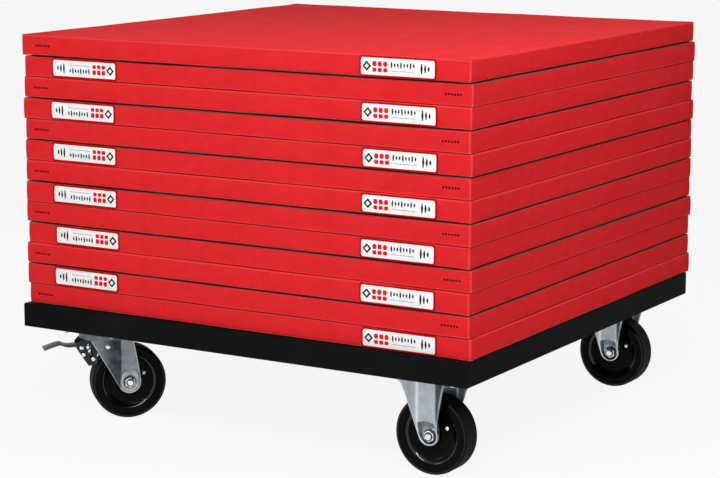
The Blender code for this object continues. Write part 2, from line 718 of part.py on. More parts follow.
def swivel_plate_mesh():
    """Returns the swivel caster's top plate, with the upper ball race under it."""
    outline = rounded_rectangle(TOP_PLATE_LENGTH, TOP_PLATE_WIDTH, TOP_PLATE_CORNER)
    bore = circle((0, 0), KING_PIN_RADIUS + TOUCH_GAP, TURNED_STEPS)
    centre = (0, 0, CASTER_HEIGHT - TOP_PLATE_THICKNESS / 2)
    plate = outline_solid("top_plate", [outline, bore] + stud_holes(), TOP_PLATE_THICKNESS, PLAN, centre)
    outer = BALL_CIRCLE_RADIUS + RACE_WIDTH / 2
    inner = BALL_CIRCLE_RADIUS - RACE_WIDTH / 2
    low = TOP_PLATE_UNDERSIDE - RACE_HEIGHT
    high = TOP_PLATE_UNDERSIDE + TOP_PLATE_THICKNESS / 2
    profile = [(outer, high), (outer, low), (inner, low), (inner, high)]
    race = turned_solid("race", profile, CROWN_STEPS, closed=True)
    return finished(boolean(plate, "UNION", race))


def ball_cage_mesh():
    """Returns the ring of balls between the top plate and the crown, in their pressed cage."""
    height = CROWN_TOP + TOUCH_GAP + BALL_RADIUS
    outer = BALL_CIRCLE_RADIUS + CAGE_WIDTH / 2
    inner = BALL_CIRCLE_RADIUS - CAGE_WIDTH / 2
    low, high = height - CAGE_THICKNESS / 2, height + CAGE_THICKNESS / 2
    profile = [(outer, high), (outer, low), (inner, low), (inner, high)]
    cage = turned_solid("ball_cage", profile, TURNED_STEPS, closed=True)
    bm = bmesh.new()
    for x, y in circle((0, 0), BALL_CIRCLE_RADIUS, BALL_COUNT):
        place_of_ball = Matrix.Translation((x, y, height))
        bmesh.ops.create_uvsphere(bm, u_segments=8, v_segments=4, radius=BALL_RADIUS, matrix=place_of_ball)
    balls = bpy.data.meshes.new("balls")
    bm.to_mesh(balls)
    bm.free()
    return finished(boolean(cage, "UNION", link(bpy.data.objects.new("balls", balls), CUTTERS)))


def king_pin_mesh():
    """Returns the riveted king pin, fixed in the top plate and headed under the crown."""
    top = CASTER_HEIGHT - TOUCH_GAP
    under = CROWN_UNDERSIDE - TOUCH_GAP
    profile = [
        (0, top),
        (KING_PIN_RADIUS, top),
        (KING_PIN_RADIUS, under),
        (KING_PIN_HEAD_RADIUS, under),
        (KING_PIN_HEAD_RADIUS - PIN_HEAD_EDGE, under - KING_PIN_HEAD_HEIGHT),
        (0, under - KING_PIN_HEAD_HEIGHT),
    ]
    return finished(turned_solid("king_pin", profile))


def brake_pedal_mesh():
    """Returns the brake pedal about its pivot: a bent strip on a hub."""
    line = [(x * MM, z * MM) for x, z in PEDAL_LINE_MM]
    strip = outline_solid("brake_pedal", [band_outline(line, PEDAL_SHEET / 2)], PEDAL_WIDTH, SIDE)
    hub = outline_solid("hub", [circle((0, 0), PEDAL_HUB_RADIUS)], PEDAL_WIDTH, SIDE)
    boolean(strip, "UNION", hub)
    boolean(strip, "DIFFERENCE", brake_pin_hole((0, 0)))
    return finished(strip)


def shoe_reach():
    """Returns how far the shoe's lobe reaches from its pivot, just short of the tread."""
    gap = math.dist(SHOE_PIVOT, (TRAIL, WHEEL_RADIUS)) - WHEEL_RADIUS
    return gap - SHOE_CLEARANCE


def brake_shoe_mesh():
    """Returns the brake shoe about its pivot: a hub with a lobe that turns on to the tread."""
    lobe_start = SHOE_REST_ANGLE - SHOE_LOBE_HALF_ANGLE
    lobe_end = SHOE_REST_ANGLE + SHOE_LOBE_HALF_ANGLE
    lobe = arc((0, 0), shoe_reach(), lobe_start, lobe_end, 4)
    hub = arc((0, 0), SHOE_HUB_RADIUS, lobe_end + SHOE_NECK_ANGLE, lobe_start - SHOE_NECK_ANGLE + 360, 12)
    hole = circle((0, 0), PIN_RADIUS + PIN_CLEARANCE)
    return finished(outline_solid("brake_shoe", [lobe + hub, hole], SHOE_WIDTH, SIDE))


def pin_solid(name, half_length, head_radius):
    """Returns a headed pin turned about Z, with a head at each end."""
    high = half_length + PIN_HEAD_HEIGHT
    upper = [(0, high), (head_radius - PIN_HEAD_EDGE, high), (head_radius, high - PIN_HEAD_EDGE)]
    upper += [(head_radius, half_length), (PIN_RADIUS, half_length)]
    profile = upper + [(r, -z) for r, z in reversed(upper)]
    return turned_solid(name, profile, PIN_STEPS)


def hinge_pin_mesh():
    """Returns the pin that carries the pedal or the shoe between the cheeks, along Y."""
    half = CHEEK_INNER_HALF_WIDTH + CHEEK_THICKNESS + TOUCH_GAP
    mesh = finished(pin_solid("hinge_pin", half, PIN_HEAD_RADIUS))
    mesh.transform(SIDE)
    return mesh


def rivet(name, where, half_length, head_radius):
    """Returns a rivet that ties two walls of the fork together, along Y."""
    obj = pin_solid(name, half_length, head_radius)
    obj.matrix_world = Matrix.Translation((where[0], 0, where[1])) @ SIDE
    return obj


def mat_mesh():
    """Returns a gym mat: a slab with round edges, whose sides swell a little at mid height."""
    half = MAT_SIZE / 2
    bm = bmesh.new()
    bmesh.ops.create_cube(bm, size=1.0)
    bmesh.ops.scale(bm, vec=(MAT_SIZE, MAT_SIZE, MAT_THICKNESS), verts=bm.verts)
    upright = [e for e in bm.edges if abs(e.verts[0].co.z - e.verts[1].co.z) > MAT_THICKNESS / 2]
    bmesh.ops.bevel(bm, geom=upright, offset=MAT_CORNER_RADIUS, segments=2, profile=0.5, affect="EDGES")
    rims = [e for e in bm.edges if abs(e.verts[0].co.z - e.verts[1].co.z) < MAT_THICKNESS / 2]
    bmesh.ops.bevel(bm, geom=rims, offset=MAT_EDGE_RADIUS, segments=2, profile=0.5, affect="EDGES")
    for normal in ((1, 0, 0), (0, 1, 0), (0, 0, 1)):
        everything = bm.verts[:] + bm.edges[:] + bm.faces[:]
        bmesh.ops.bisect_plane(bm, geom=everything, plane_co=(0, 0, 0), plane_no=normal)
    for vertex in bm.verts:
        x, y, z = vertex.co
        flatness = MAT_SIDE_CROWN * (2 * z / MAT_THICKNESS) ** 2
        for axis, across in ((0, y), (1, x)):
            if abs(vertex.co[axis]) > half - MAT_CORNER_RADIUS - MAT_EDGE_RADIUS:
                draw_in = MAT_SIDE_DRAW_IN * (1 - (across / half) ** 2)
                vertex.co[axis] -= math.copysign(flatness + draw_in, vertex.co[axis])
    mesh = bpy.data.meshes.new("mat")
    bm.to_mesh(mesh)
    bm.free()
    mesh.shade_smooth()
    mesh.set_sharp_from_angle(angle=math.radians(50))
    return mesh


def build_deck():
    """Adds the deck sheet, its frame and the four mounting plates."""
    sheet = outline_solid(
        "deck_sheet",
        [rounded_rectangle(DECK_LENGTH, DECK_WIDTH, PLATE_CORNER, 2)],
        SHEET_THICKNESS,
        PLAN,
        (0, 0, SHEET_THICKNESS / 2),
    )
    place("deck_sheet", finished(sheet), BLACK_PAINT, (0, 0, SHEET_BASE))
    long_rail = rail_mesh("long_rail", DECK_LENGTH)
    short_rail = rail_mesh("short_rail", DECK_WIDTH)
    rails = (
        ("front_rail", long_rail, 0, (0, -DECK_WIDTH / 2)),
        ("right_rail", short_rail, 90, (DECK_LENGTH / 2, 0)),
        ("rear_rail", long_rail, 180, (0, DECK_WIDTH / 2)),
        ("left_rail", short_rail, 270, (-DECK_LENGTH / 2, 0)),
    )
    for name, mesh, turn, (x, y) in rails:
        rail = place(name, mesh, BLACK_PAINT, (x, y, RAIL_BASE))
        rail.rotation_euler = (0, 0, math.radians(turn))
    member = cross_member_mesh(DECK_WIDTH - 2 * (RAIL_FLANGE + TOUCH_GAP))
    for name, side in (("left_cross_member", -1), ("right_cross_member", 1)):
        place(name, member, BLACK_PAINT, (side * CROSS_MEMBER_X, 0, RAIL_BASE))


def caster_places():
    """Returns each caster's name with its plate centre on the floor."""
    x = DECK_LENGTH / 2 - CASTER_INSET_X
    y = DECK_WIDTH / 2 - CASTER_INSET_Y
    return {
        "front_left": (-x, -y),
        "rear_left": (-x, y),
        "front_right": (x, -y),
        "rear_right": (x, y),
    }


def mount_plate_mesh(caster_offset):
    """Returns a mounting plate, with four studs welded in it about the caster's centre."""
    outline = rounded_rectangle(MOUNT_PLATE_LENGTH, MOUNT_PLATE_WIDTH, PLATE_CORNER, 2)
    middle = (0, 0, MOUNT_PLATE_THICKNESS / 2)
    plate = outline_solid("mount_plate", [outline], MOUNT_PLATE_THICKNESS, PLAN, middle)
    length = STUD_LENGTH + MOUNT_PLATE_THICKNESS / 2
    for dx, dy in stud_places():
        centre = (caster_offset[0] + dx, caster_offset[1] + dy, MOUNT_PLATE_THICKNESS / 2 - length / 2)
        shank = circle((0, 0), STUD_RADIUS, STUD_STEPS)
        boolean(plate, "UNION", outline_solid("stud", [shank], length, PLAN, centre))
    return finished(plate)


def build_mounting():
    """Adds the mounting plates under the deck's corners."""
    plate_x = DECK_LENGTH / 2 - MOUNT_PLATE_INSET - MOUNT_PLATE_LENGTH / 2
    plate_y = DECK_WIDTH / 2 - MOUNT_PLATE_INSET - MOUNT_PLATE_WIDTH / 2
    for name, (x, y) in caster_places().items():
        centre = (math.copysign(plate_x, x), math.copysign(plate_y, y))
        mesh = mount_plate_mesh((x - centre[0], y - centre[1]))
        place(f"{name}_mount_plate", mesh, BLACK_PAINT, (*centre, MOUNT_PLATE_BASE))


def build_wheel(prefix, meshes, centre, roll, parent):
    """Adds a wheel with its bearing on the axle's axis, and the axle bolt and nut."""
    axis = joint_axis(f"{prefix}_wheel_axis", centre, 0, parent)
    axis.rotation_euler.y = math.radians(-roll)
    place(f"{prefix}_wheel", meshes["wheel"], BLACK_TYRE, parent=axis)
    place(f"{prefix}_bearing", meshes["bearing"], BRONZE, parent=axis)
    place(f"{prefix}_axle_bolt", meshes["axle_bolt"], ZINC, centre, parent)
    place(f"{prefix}_axle_nut", meshes["axle_nut"], ZINC, centre, parent)


def build_casters():
    """Adds the two fixed casters on the right and the two braked swivel casters on the left."""
    meshes = {
        "wheel": wheel_mesh(),
        "bearing": bearing_mesh(),
        "axle_bolt": axle_bolt_mesh(),
        "axle_nut": axle_nut_mesh(),
    }
    fixed_fork = fixed_fork_mesh()
    swivel_pieces = {
        "top_plate": swivel_plate_mesh(),
        "king_pin": king_pin_mesh(),
    }
    turning_pieces = {"ball_cage": ball_cage_mesh(), "fork": swivel_fork_mesh()}
    pedal, shoe, pin = brake_pedal_mesh(), brake_shoe_mesh(), hinge_pin_mesh()
    for prefix, (x, y) in caster_places().items():
        if x > 0:
            base = joint_axis(f"{prefix}_caster", (x, y, 0))
            place(f"{prefix}_fork", fixed_fork, ZINC, parent=base)
            build_wheel(prefix, meshes, (0, 0, WHEEL_RADIUS), 0, base)
            continue
        base = joint_axis(f"{prefix}_swivel_axis", (x, y, 0), SWIVEL_HEADING)
        for piece, mesh in swivel_pieces.items():
            place(f"{prefix}_{piece}", mesh, ZINC, (x, y, 0))
        for piece, mesh in turning_pieces.items():
            place(f"{prefix}_{piece}", mesh, ZINC, parent=base)
        build_wheel(prefix, meshes, (TRAIL, 0, WHEEL_RADIUS), SWIVEL_WHEEL_ROLL, base)
        for piece, mesh, (px, pz) in (("pedal", pedal, PEDAL_PIVOT), ("shoe", shoe, SHOE_PIVOT)):
            place(f"{prefix}_brake_{piece}", mesh, ZINC, (px, 0, pz), base)
            place(f"{prefix}_{piece}_pin", pin, ZINC, (px, 0, pz), base)


def mat_shift(index):
    """Returns the small sideways shift of a mat that was stacked by hand."""
    return (
        MAT_SHIFT_X + MAT_SCATTER * math.sin(2.4 * index + 1.0),
        MAT_SHIFT_Y + MAT_SCATTER * math.cos(1.7 * index + 0.5),
    )


def build_mats():
    """Adds the stack of mats, from the bottom one up."""
    mesh = mat_mesh()
    for index in range(MAT_COUNT):
        middle = DECK_TOP + TOUCH_GAP + index * (MAT_THICKNESS + TOUCH_GAP) + MAT_THICKNESS / 2
        place(f"mat_{index + 1:02d}", mesh, RED_COVER, (*mat_shift(index), middle))


def main():
    build_deck()
    build_mounting()
    build_casters()
    build_mats()


main()
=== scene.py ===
"""The looks of a mat trolley: thirteen covered gym mats on a steel deck with four casters.

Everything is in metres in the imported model's frame: +Z is up, the front faces -Y, and the
origin lies on the floor under the middle of the deck.
"""

import bisect
import itertools
import json
import logging
import math
import random
from dataclasses import dataclass, field
from enum import Enum
from typing import Callable, Sequence, TypeVar

import bmesh
import bpy
from mathutils import Matrix, Vector, noise
from mathutils.bvhtree import BVHTree


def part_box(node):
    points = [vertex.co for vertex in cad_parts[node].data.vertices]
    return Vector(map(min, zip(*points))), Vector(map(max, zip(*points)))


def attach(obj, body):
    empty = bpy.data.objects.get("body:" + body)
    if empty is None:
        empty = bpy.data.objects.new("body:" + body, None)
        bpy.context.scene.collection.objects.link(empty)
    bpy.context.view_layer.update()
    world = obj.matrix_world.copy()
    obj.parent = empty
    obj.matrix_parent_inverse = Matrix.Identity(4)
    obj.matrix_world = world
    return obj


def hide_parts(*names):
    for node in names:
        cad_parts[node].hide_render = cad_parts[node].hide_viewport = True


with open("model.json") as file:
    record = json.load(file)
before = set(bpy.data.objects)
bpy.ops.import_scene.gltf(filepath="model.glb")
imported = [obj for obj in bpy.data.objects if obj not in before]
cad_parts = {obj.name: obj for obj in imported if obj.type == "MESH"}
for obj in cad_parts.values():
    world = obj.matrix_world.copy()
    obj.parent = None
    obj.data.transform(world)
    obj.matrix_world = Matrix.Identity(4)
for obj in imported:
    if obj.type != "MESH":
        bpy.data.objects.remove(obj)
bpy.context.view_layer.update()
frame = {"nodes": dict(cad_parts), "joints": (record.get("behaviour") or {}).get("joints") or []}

MM = 0.001
WELD = 0.01 * MM
LOG = logging.getLogger("mat_trolley")

Point2 = tuple[float, float]
Point3 = tuple[float, float, float]
Colour = tuple[float, float, float]
Part = tuple[bpy.types.Mesh, Matrix]
Thing = TypeVar("Thing")


def srgb(red: int, green: int, blue: int) -> Colour:
    """Returns a screen colour of 0 to 255 as linear light."""

    def linear(value: int) -> float:
        """Returns one channel as linear light."""
        share = value / 255
        return share / 12.92 if share <= 0.04045 else ((share + 0.055) / 1.055) ** 2.4

    return (linear(red), linear(green), linear(blue))


def smooth_step(value: float, start: float, end: float) -> float:
    """Returns a soft step from 0 at start to 1 at end."""
    share = min(max((value - start) / (end - start), 0.0), 1.0)
    return share * share * (3 - 2 * share)


def soft_min(first: float, second: float, blend: float) -> float:
    """Returns the lesser of two values, rounded off over the blend distance."""
    share = max(blend - abs(first - second), 0.0) / blend
    return min(first, second) - share * share * blend / 4


def arc(centre: Point2, radius: float, start: float, end: float, count: int) -> list[Point2]:
    """Returns count + 1 points along an arc.

    Args:
        centre: The arc's centre.
        radius: Its radius.
        start: The first point's angle in degrees.
        end: The last point's angle in degrees.
        count: The number of steps.

    Returns:
        The points, in order.
    """
    angles = [math.radians(start + (end - start) * step / count) for step in range(count + 1)]
    return [(centre[0] + radius * math.cos(a), centre[1] + radius * math.sin(a)) for a in angles]


def polygon(radius: float, sides: int, turn: float = 0.0) -> list[Point2]:
    """Returns a regular polygon's corners, or a circle's points, about the origin."""
    return arc((0, 0), radius, turn, turn + 360, sides)[:-1]


def hexagon(across_flats: float) -> list[Point2]:
    """Returns the outline of a hexagon head or nut."""
    return polygon(across_flats / 2 / math.cos(math.radians(30)), 6, 30)


def rounded_rectangle(length: float, width: float, radius: float, count: int = 6) -> list[Point2]:
    """Returns a rectangle's outline with round corners, centred on the origin."""
    points: list[Point2] = []
    for quarter, (sx, sy) in enumerate(((1, 1), (-1, 1), (-1, -1), (1, -1))):
        centre = (sx * (length / 2 - radius), sy * (width / 2 - radius))
        points += arc(centre, radius, 90 * quarter, 90 * (quarter + 1), count)
    return points


def with_mirror(upper: list[Point2]) -> list[Point2]:
    """Returns a section with its mirror image below z = 0."""
    return upper + [(r, -z) for r, z in reversed(upper)]


def shift(x: float = 0.0, y: float = 0.0, z: float = 0.0) -> Matrix:
    """Returns a move by millimetres along each axis."""
    return Matrix.Translation((x * MM, y * MM, z * MM))


def rotation(degrees: float, axis: str) -> Matrix:
    """Returns a turn about an axis."""
    return Matrix.Rotation(math.radians(degrees), 4, axis)


def assign(thing: Thing, **settings: object) -> Thing:
    """Sets some of a thing's properties, and returns it."""
    for name, value in settings.items():
        setattr(thing, name, value)
    return thing


STILL = Matrix.Identity(4)
ALONG_Y = rotation(90, "X")


@dataclass(frozen=True)
class Socket:
    """An output of a shader node, which can be used in arithmetic."""

    graph: "Graph"
    output: bpy.types.NodeSocket

    def pick(self, name: str) -> "Socket":
        """Returns another output of the same node."""
        return Socket(self.graph, self.output.node.outputs[name])

    def _math(self, operation: str, *values: "Socket | float") -> "Socket":
        """Returns a Math node's result on the values."""
        return self.graph.node("ShaderNodeMath", {"operation": operation}, dict(enumerate(values)))

    def __add__(self, other: "Socket | float") -> "Socket":
        """Adds a value."""
        return self._math("ADD", self, other)

    def __radd__(self, other: float) -> "Socket":
        """Adds this to a number."""
        return self._math("ADD", other, self)

    def __sub__(self, other: "Socket | float") -> "Socket":
        """Takes a value away."""
        return self._math("SUBTRACT", self, other)

    def __rsub__(self, other: float) -> "Socket":
        """Takes this away from a number."""
        return self._math("SUBTRACT", other, self)

    def __mul__(self, other: "Socket | float") -> "Socket":
        """Multiplies by a value."""
        return self._math("MULTIPLY", self, other)

    def __rmul__(self, other: float) -> "Socket":
        """Multiplies a number by this."""
        return self._math("MULTIPLY", other, self)

    def greater(self, other: "Socket") -> "Socket":
        """Returns the greater of this and another."""
        return self._math("MAXIMUM", self, other)

    def sine(self) -> "Socket":
        """Returns the sine of this, in radians."""
        return self._math("SINE", self)

    def magnitude(self) -> "Socket":
        """Returns this without its sign."""
        return self._math("ABSOLUTE", self)

    def ramp(self, start: float, end: float) -> "Socket":
        """Returns a soft step of this, from 0 at start to 1 at end."""
        settings = {"interpolation_type": "SMOOTHSTEP"}
        return self.graph.node("ShaderNodeMapRange", settings, {"Value": self, 1: start, 2: end})


class Graph:
    """The nodes of a material or of the world, fed by expressions."""

    def __init__(self, owner: "bpy.types.Material | bpy.types.World", shader: str) -> None:
        """Turns the owner's nodes on, and finds the shader by its name."""
        owner.use_nodes = True
        self.owner = owner
        self.tree = owner.node_tree
        self.shader = self.tree.nodes[shader]

    @classmethod
    def of_material(cls, name: str) -> "Graph":
        """Returns the graph of a new material."""
        return cls(bpy.data.materials.new(name), "Principled BSDF")

    def node(self, kind: str, settings: dict | None = None, inputs: dict | None = None) -> Socket:
        """Adds a node.

        Args:
            kind: The node's type.
            settings: Its properties, set first.
            inputs: Values or links for its sockets, by name or place.

        Returns:
            The node's first output that is in use.
        """
        node = assign(self.tree.nodes.new(kind), **(settings or {}))
        for key, value in (inputs or {}).items():
            self.feed(node.inputs[key], value)
        return Socket(self, next(output for output in node.outputs if output.enabled))

    def feed(self, socket: bpy.types.NodeSocket, value: "Socket | float | Sequence[float]") -> None:
        """Links or sets one input socket."""
        if isinstance(value, Socket):
            self.tree.links.new(value.output, socket)
        elif socket.type == "RGBA" and not isinstance(value, float):
            socket.default_value = (*value, 1.0)
        else:
            socket.default_value = value

    def place(self) -> Socket:
        """Returns the place on the piece, in metres."""
        return self.node("ShaderNodeTexCoord").pick("Object")

    def parts(self, vector: Socket) -> Socket:
        """Returns a vector's X, from which Y and Z can be picked."""
        return self.node("ShaderNodeSeparateXYZ", None, {0: vector})

    def scaled(self, vector: Socket, scale: Sequence[float]) -> Socket:
        """Returns a vector stretched along its axes."""
        return self.node("ShaderNodeVectorMath", {"operation": "MULTIPLY"}, {0: vector, 1: scale})

    def noise(self, where: Socket, size: float, detail: float = 2.0, roughness: float = 0.5) -> Socket:
        """Returns noise of 0 to 1 whose spots are about size across."""
        inputs = {"Vector": where, "Scale": 1 / size, "Detail": detail, "Roughness": roughness}
        return self.node("ShaderNodeTexNoise", {"noise_dimensions": "3D"}, inputs)

    def mix(self, factor: "Socket | float", first: "Socket | Colour", second: "Socket | Colour") -> Socket:
        """Returns a blend of two colours."""
        return self.node("ShaderNodeMix", {"data_type": "RGBA"}, {0: factor, 6: first, 7: second})

    def bump(self, height: Socket, depth: float) -> Socket:
        """Returns the normal of a surface raised by height times depth, in metres."""
        return self.node("ShaderNodeBump", None, {"Strength": 1.0, "Distance": depth, "Height": height})

    def finish(self, **sockets: "Socket | float | Sequence[float]") -> bpy.types.Material:
        """Feeds the shader's sockets, named with _ for a space, and returns the material."""
        for name, value in sockets.items():
            self.feed(self.shader.inputs[name.replace("_", " ")], value)
        return self.owner


@dataclass(frozen=True)
class Look:
    """What all finishes share: each feeds its own values to one shader."""

    name: str

    def material(self) -> bpy.types.Material:
        """Builds the material."""
        graph = Graph.of_material(self.name)
        return graph.finish(**self.sockets(graph, graph.place()))

    def sockets(self, graph: Graph, place: Socket) -> dict:
        """Returns the values of the shader's sockets.

        Args:
            graph: The material's graph.
            place: The place on the piece.

        Returns:
            A value for each socket, named with _ for a space.
        """
        raise NotImplementedError


@dataclass(frozen=True)
class CoverFabric(Look):
    """Red coated fabric with a fine woven grain, painted highlights on its edges, painted shade between
    mats.
    """

    name: str = "red_cover_fabric"
    colour: Colour = srgb(229, 45, 49)
    dark: Colour = srgb(214, 38, 43)
    # On this cover, the colour of the painted highlight along the edges and corners.
    scuff_and_highlight: Colour = srgb(243, 112, 108)
    # The colour of the painted shade where one stacked mat meets the next.
    painted_seam_shade: Colour = srgb(98, 12, 18)
    thread: float = 1.3 * MM
    mottle: float = 45 * MM
    half: float = 499.5 * MM
    thickness: float = 41 * MM
    reach: float = 4.5 * MM

    def gaps(self, parts: Socket) -> list[Socket]:
        """Returns how far a point is from the box's faces along X, Y and Z."""
        return [
            self.half - parts.magnitude(),
            self.half - parts.pick("Y").magnitude(),
            self.thickness / 2 - (parts.pick("Z") - self.thickness / 2).magnitude(),
        ]

    def painted_edge_highlight(self, gaps: Sequence[Socket]) -> Socket:
        """Returns the painted highlight's share: 1 along the cover's edges and more at its corners."""
        near = [1.0 - gap.ramp(0.8 * MM, self.reach) for gap in gaps]
        return near[0] * near[1] + near[1] * near[2] * 0.75 + near[0] * near[2] * 0.75

    def seam_shade(self, gaps: Sequence[Socket]) -> Socket:
        """Returns 1 on the stitched line round the top and bottom, where the painted shade between stacked
        mats lies.
        """
        inside = gaps[0].ramp(1.6 * MM, 2.4 * MM) * gaps[1].ramp(1.6 * MM, 2.4 * MM)
        return (1.0 - gaps[2].ramp(0.5 * MM, 1.2 * MM)) * (1.0 - inside)

    def sockets(self, graph: Graph, place: Socket) -> dict:
        """Returns the values of the shader's sockets."""
        parts = graph.parts(place)
        turn = 2 * math.pi / self.thread
        weave = (parts * turn).sine() * (parts.pick("Y") * turn).sine()
        weave = weave + (parts.pick("Z") * turn).sine() * 0.6
        grain = graph.noise(place, 1.1 * MM, 2.0)
        coarse = graph.noise(place, 4 * MM, 3.0, 0.65)
        patches = graph.noise(place, self.mottle, 3.0, 0.6)
        streaks = graph.noise(graph.scaled(place, (1.0, 1.0, 14.0)), 60 * MM, 2.0)
        slack = graph.noise(place, 110 * MM, 1.0)
        tone = patches.ramp(0.3, 0.75) * 0.5 + streaks.ramp(0.35, 0.7) * 0.12
        tone = tone + coarse.ramp(0.35, 0.7) * 0.38
        gaps = self.gaps(parts)
        # Painted highlight along the edges and corners, mottled by the grain.
        edge = self.painted_edge_highlight(gaps) * (grain * 0.5 + patches * 0.7)
        plain = graph.mix(edge * 0.62, graph.mix(tone, self.colour, self.dark), self.scuff_and_highlight)
        height = weave * 0.08 + grain * 0.25 + coarse * 0.35 + slack * 9.0 + patches * 1.2
        return dict(
            # Painted shade on the seam where one mat meets the next.
            Base_Color=graph.mix(self.seam_shade(gaps) * 0.85, plain, self.painted_seam_shade),
            Roughness=grain * 0.12 + patches * 0.1 + 0.52,
            Specular_IOR_Level=0.012,
            Normal=graph.bump(height, 0.4 * MM),
        )


@dataclass(frozen=True)
class GripFabric(Look):
    """The dull red non-slip cloth under each mat, with a raised dot pattern."""

    name: str = "grip_fabric"
    colour: Colour = srgb(138, 58, 55)
    dot_pitch: float = 4 * MM

    def sockets(self, graph: Graph, place: Socket) -> dict:
        """Returns the values of the shader's sockets."""
        parts = graph.parts(place)
        turn = 2 * math.pi / self.dot_pitch
        dots = ((parts * turn).sine() * (parts.pick("Y") * turn).sine()).ramp(0.2, 0.8)
        fuzz = graph.noise(place, 1.2 * MM, 3.0)
        tone = graph.noise(place, 60 * MM, 2.0)
        lighter = tuple(1.5 * channel for channel in self.colour)
        return dict(
            Base_Color=graph.mix(tone * 0.5 + dots * 0.3, self.colour, lighter),
            Roughness=fuzz * 0.15 + 0.68,
            Specular_IOR_Level=0.1,
            Normal=graph.bump(dots + fuzz * 0.4, 0.3 * MM),
        )


@dataclass(frozen=True)
class Paint(Look):
    """Satin black paint on sheet steel, with a fine orange peel and a little dust."""

    name: str = "black_paint_finish"
    colour: Colour = srgb(23, 23, 24)
    dust: Colour = srgb(40, 39, 38)

    def sockets(self, graph: Graph, place: Socket) -> dict:
        """Returns the values of the shader's sockets."""
        peel = graph.noise(place, 2.5 * MM, 2.0)
        cloud = graph.noise(place, 90 * MM, 4.0, 0.6)
        specks = graph.noise(place, 1.5 * MM, 1.0).ramp(0.68, 0.78)
        tone = cloud.ramp(0.45, 0.8) * 0.25 + specks * 0.25
        return dict(
            Base_Color=graph.mix(tone, self.colour, self.dust),
            Roughness=cloud * 0.18 + specks * 0.2 + 0.36,
            Specular_IOR_Level=0.005,
            Normal=graph.bump(peel, 0.06 * MM),
        )


@dataclass(frozen=True)
class Zinc(Look):
    """Zinc plating on pressed or turned steel, with a painted highlight on its ridges and painted shade in
    its creases.

    A mesh may carry a number for this painted light, from -1 for painted shade in a crease to 1 for a
    painted highlight on a ridge.
    """

    name: str = "zinc_plating"
    colour: Colour = srgb(182, 188, 194)
    shade: Colour = srgb(146, 153, 161)
    # Colours of the painted highlight on ridges and of the painted shade in creases.
    painted_highlight: Colour = srgb(228, 233, 238)
    painted_shade: Colour = srgb(40, 45, 52)
    roughness: float = 0.42
    spangle: float = 5 * MM

    def sockets(self, graph: Graph, place: Socket) -> dict:
        """Returns the values of the shader's sockets."""
        cloud = graph.noise(place, 22 * MM, 4.0, 0.6)
        grain = graph.noise(place, self.spangle, 3.0, 0.6)
        drawn = graph.noise(graph.scaled(place, (3.0, 3.0, 0.35)), 5 * MM, 3.0)
        scratches = graph.noise(graph.scaled(place, (9.0, 9.0, 0.6)), 4 * MM, 2.0).ramp(0.62, 0.72)
        # Painted light from the mesh: a painted highlight on ridges, painted shade in creases.
        wear = graph.node("ShaderNodeAttribute", {"attribute_name": "wear"}).pick("Fac")
        ridge, crease_shade = wear.ramp(0.0, 1.0), (wear * -1.0).ramp(0.0, 1.0)
        tone = cloud.ramp(0.35, 0.75) * 0.5 + grain.ramp(0.4, 0.75) * 0.25 + drawn.ramp(0.4, 0.7) * 0.25
        plated = graph.mix(tone, self.colour, self.shade)
        matt = cloud * 0.16 + scratches * 0.12 + crease_shade * 0.2 - ridge * 0.12
        with_painted_shade = graph.mix(crease_shade * (cloud * 0.4 + 0.7), plated, self.painted_shade)
        return dict(
            Base_Color=graph.mix(ridge * (grain * 0.5 + 0.5), with_painted_shade, self.painted_highlight),
            Metallic=1.0,
            Roughness=matt + (self.roughness - 0.08),
            Normal=graph.bump(grain + scratches * 0.5 + drawn * 0.5, 0.06 * MM),
        )


@dataclass(frozen=True)
class MouldedBlack(Look):
    """Glossy black moulded plastic, with faint turning rings and scuffs on the tread."""

    name: str = "moulded_black"
    colour: Colour = srgb(10, 9, 7)
    scuff: Colour = srgb(52, 50, 46)

    def sockets(self, graph: Graph, place: Socket) -> dict:
        """Returns the values of the shader's sockets."""
        parts = graph.parts(place)
        flow = graph.noise(place, 16 * MM, 3.0)
        fine = graph.noise(place, 1.1 * MM, 2.0)
        across = graph.scaled(place, (1.0, 0.0, 1.0))
        radius = graph.node("ShaderNodeVectorMath", {"operation": "LENGTH"}, {0: across}).pick("Value")
        rings = (radius * (2 * math.pi / (1.6 * MM))).sine()
        flank = parts.pick("Y").magnitude().ramp(17 * MM, 20 * MM)
        tread = radius.ramp(73.4 * MM, 74.6 * MM) * (1.0 - flank)
        scuff_and_highlight = tread * fine.ramp(0.45, 0.75)
        ridge = radius.ramp(49.6 * MM, 50.6 * MM) * (1.0 - radius.ramp(53.8 * MM, 54.8 * MM))
        bead = radius.ramp(69.2 * MM, 70.2 * MM) * (1.0 - radius.ramp(72.6 * MM, 73.4 * MM))
        return dict(
            Base_Color=graph.mix(scuff_and_highlight * 0.15, self.colour, self.scuff),
            Roughness=flow * 0.08 + tread * 0.45 + 0.16,
            Specular_IOR_Level=0.05,
            Coat_Weight=ridge * 0.75 + bead * 0.3,
            Coat_Roughness=0.045,
            Normal=graph.bump(rings * 0.12 + fine * 0.3, 0.05 * MM),
        )


@dataclass(frozen=True)
class TurnedMetal(Look):
    """A machined metal, with fine lathe rings round its own axis."""

    colour: Colour
    roughness: float = 0.3

    def sockets(self, graph: Graph, place: Socket) -> dict:
        """Returns the values of the shader's sockets."""
        cloud = graph.noise(place, 6 * MM, 3.0)
        fine = graph.noise(graph.scaled(place, (1.0, 1.0, 5.0)), 0.8 * MM, 2.0)
        darker = tuple(0.7 * channel for channel in self.colour)
        return dict(
            Base_Color=graph.mix(cloud.ramp(0.35, 0.75), self.colour, darker),
            Metallic=1.0,
            Roughness=fine * 0.2 + (self.roughness - 0.1),
            Normal=graph.bump(fine, 0.04 * MM),
        )


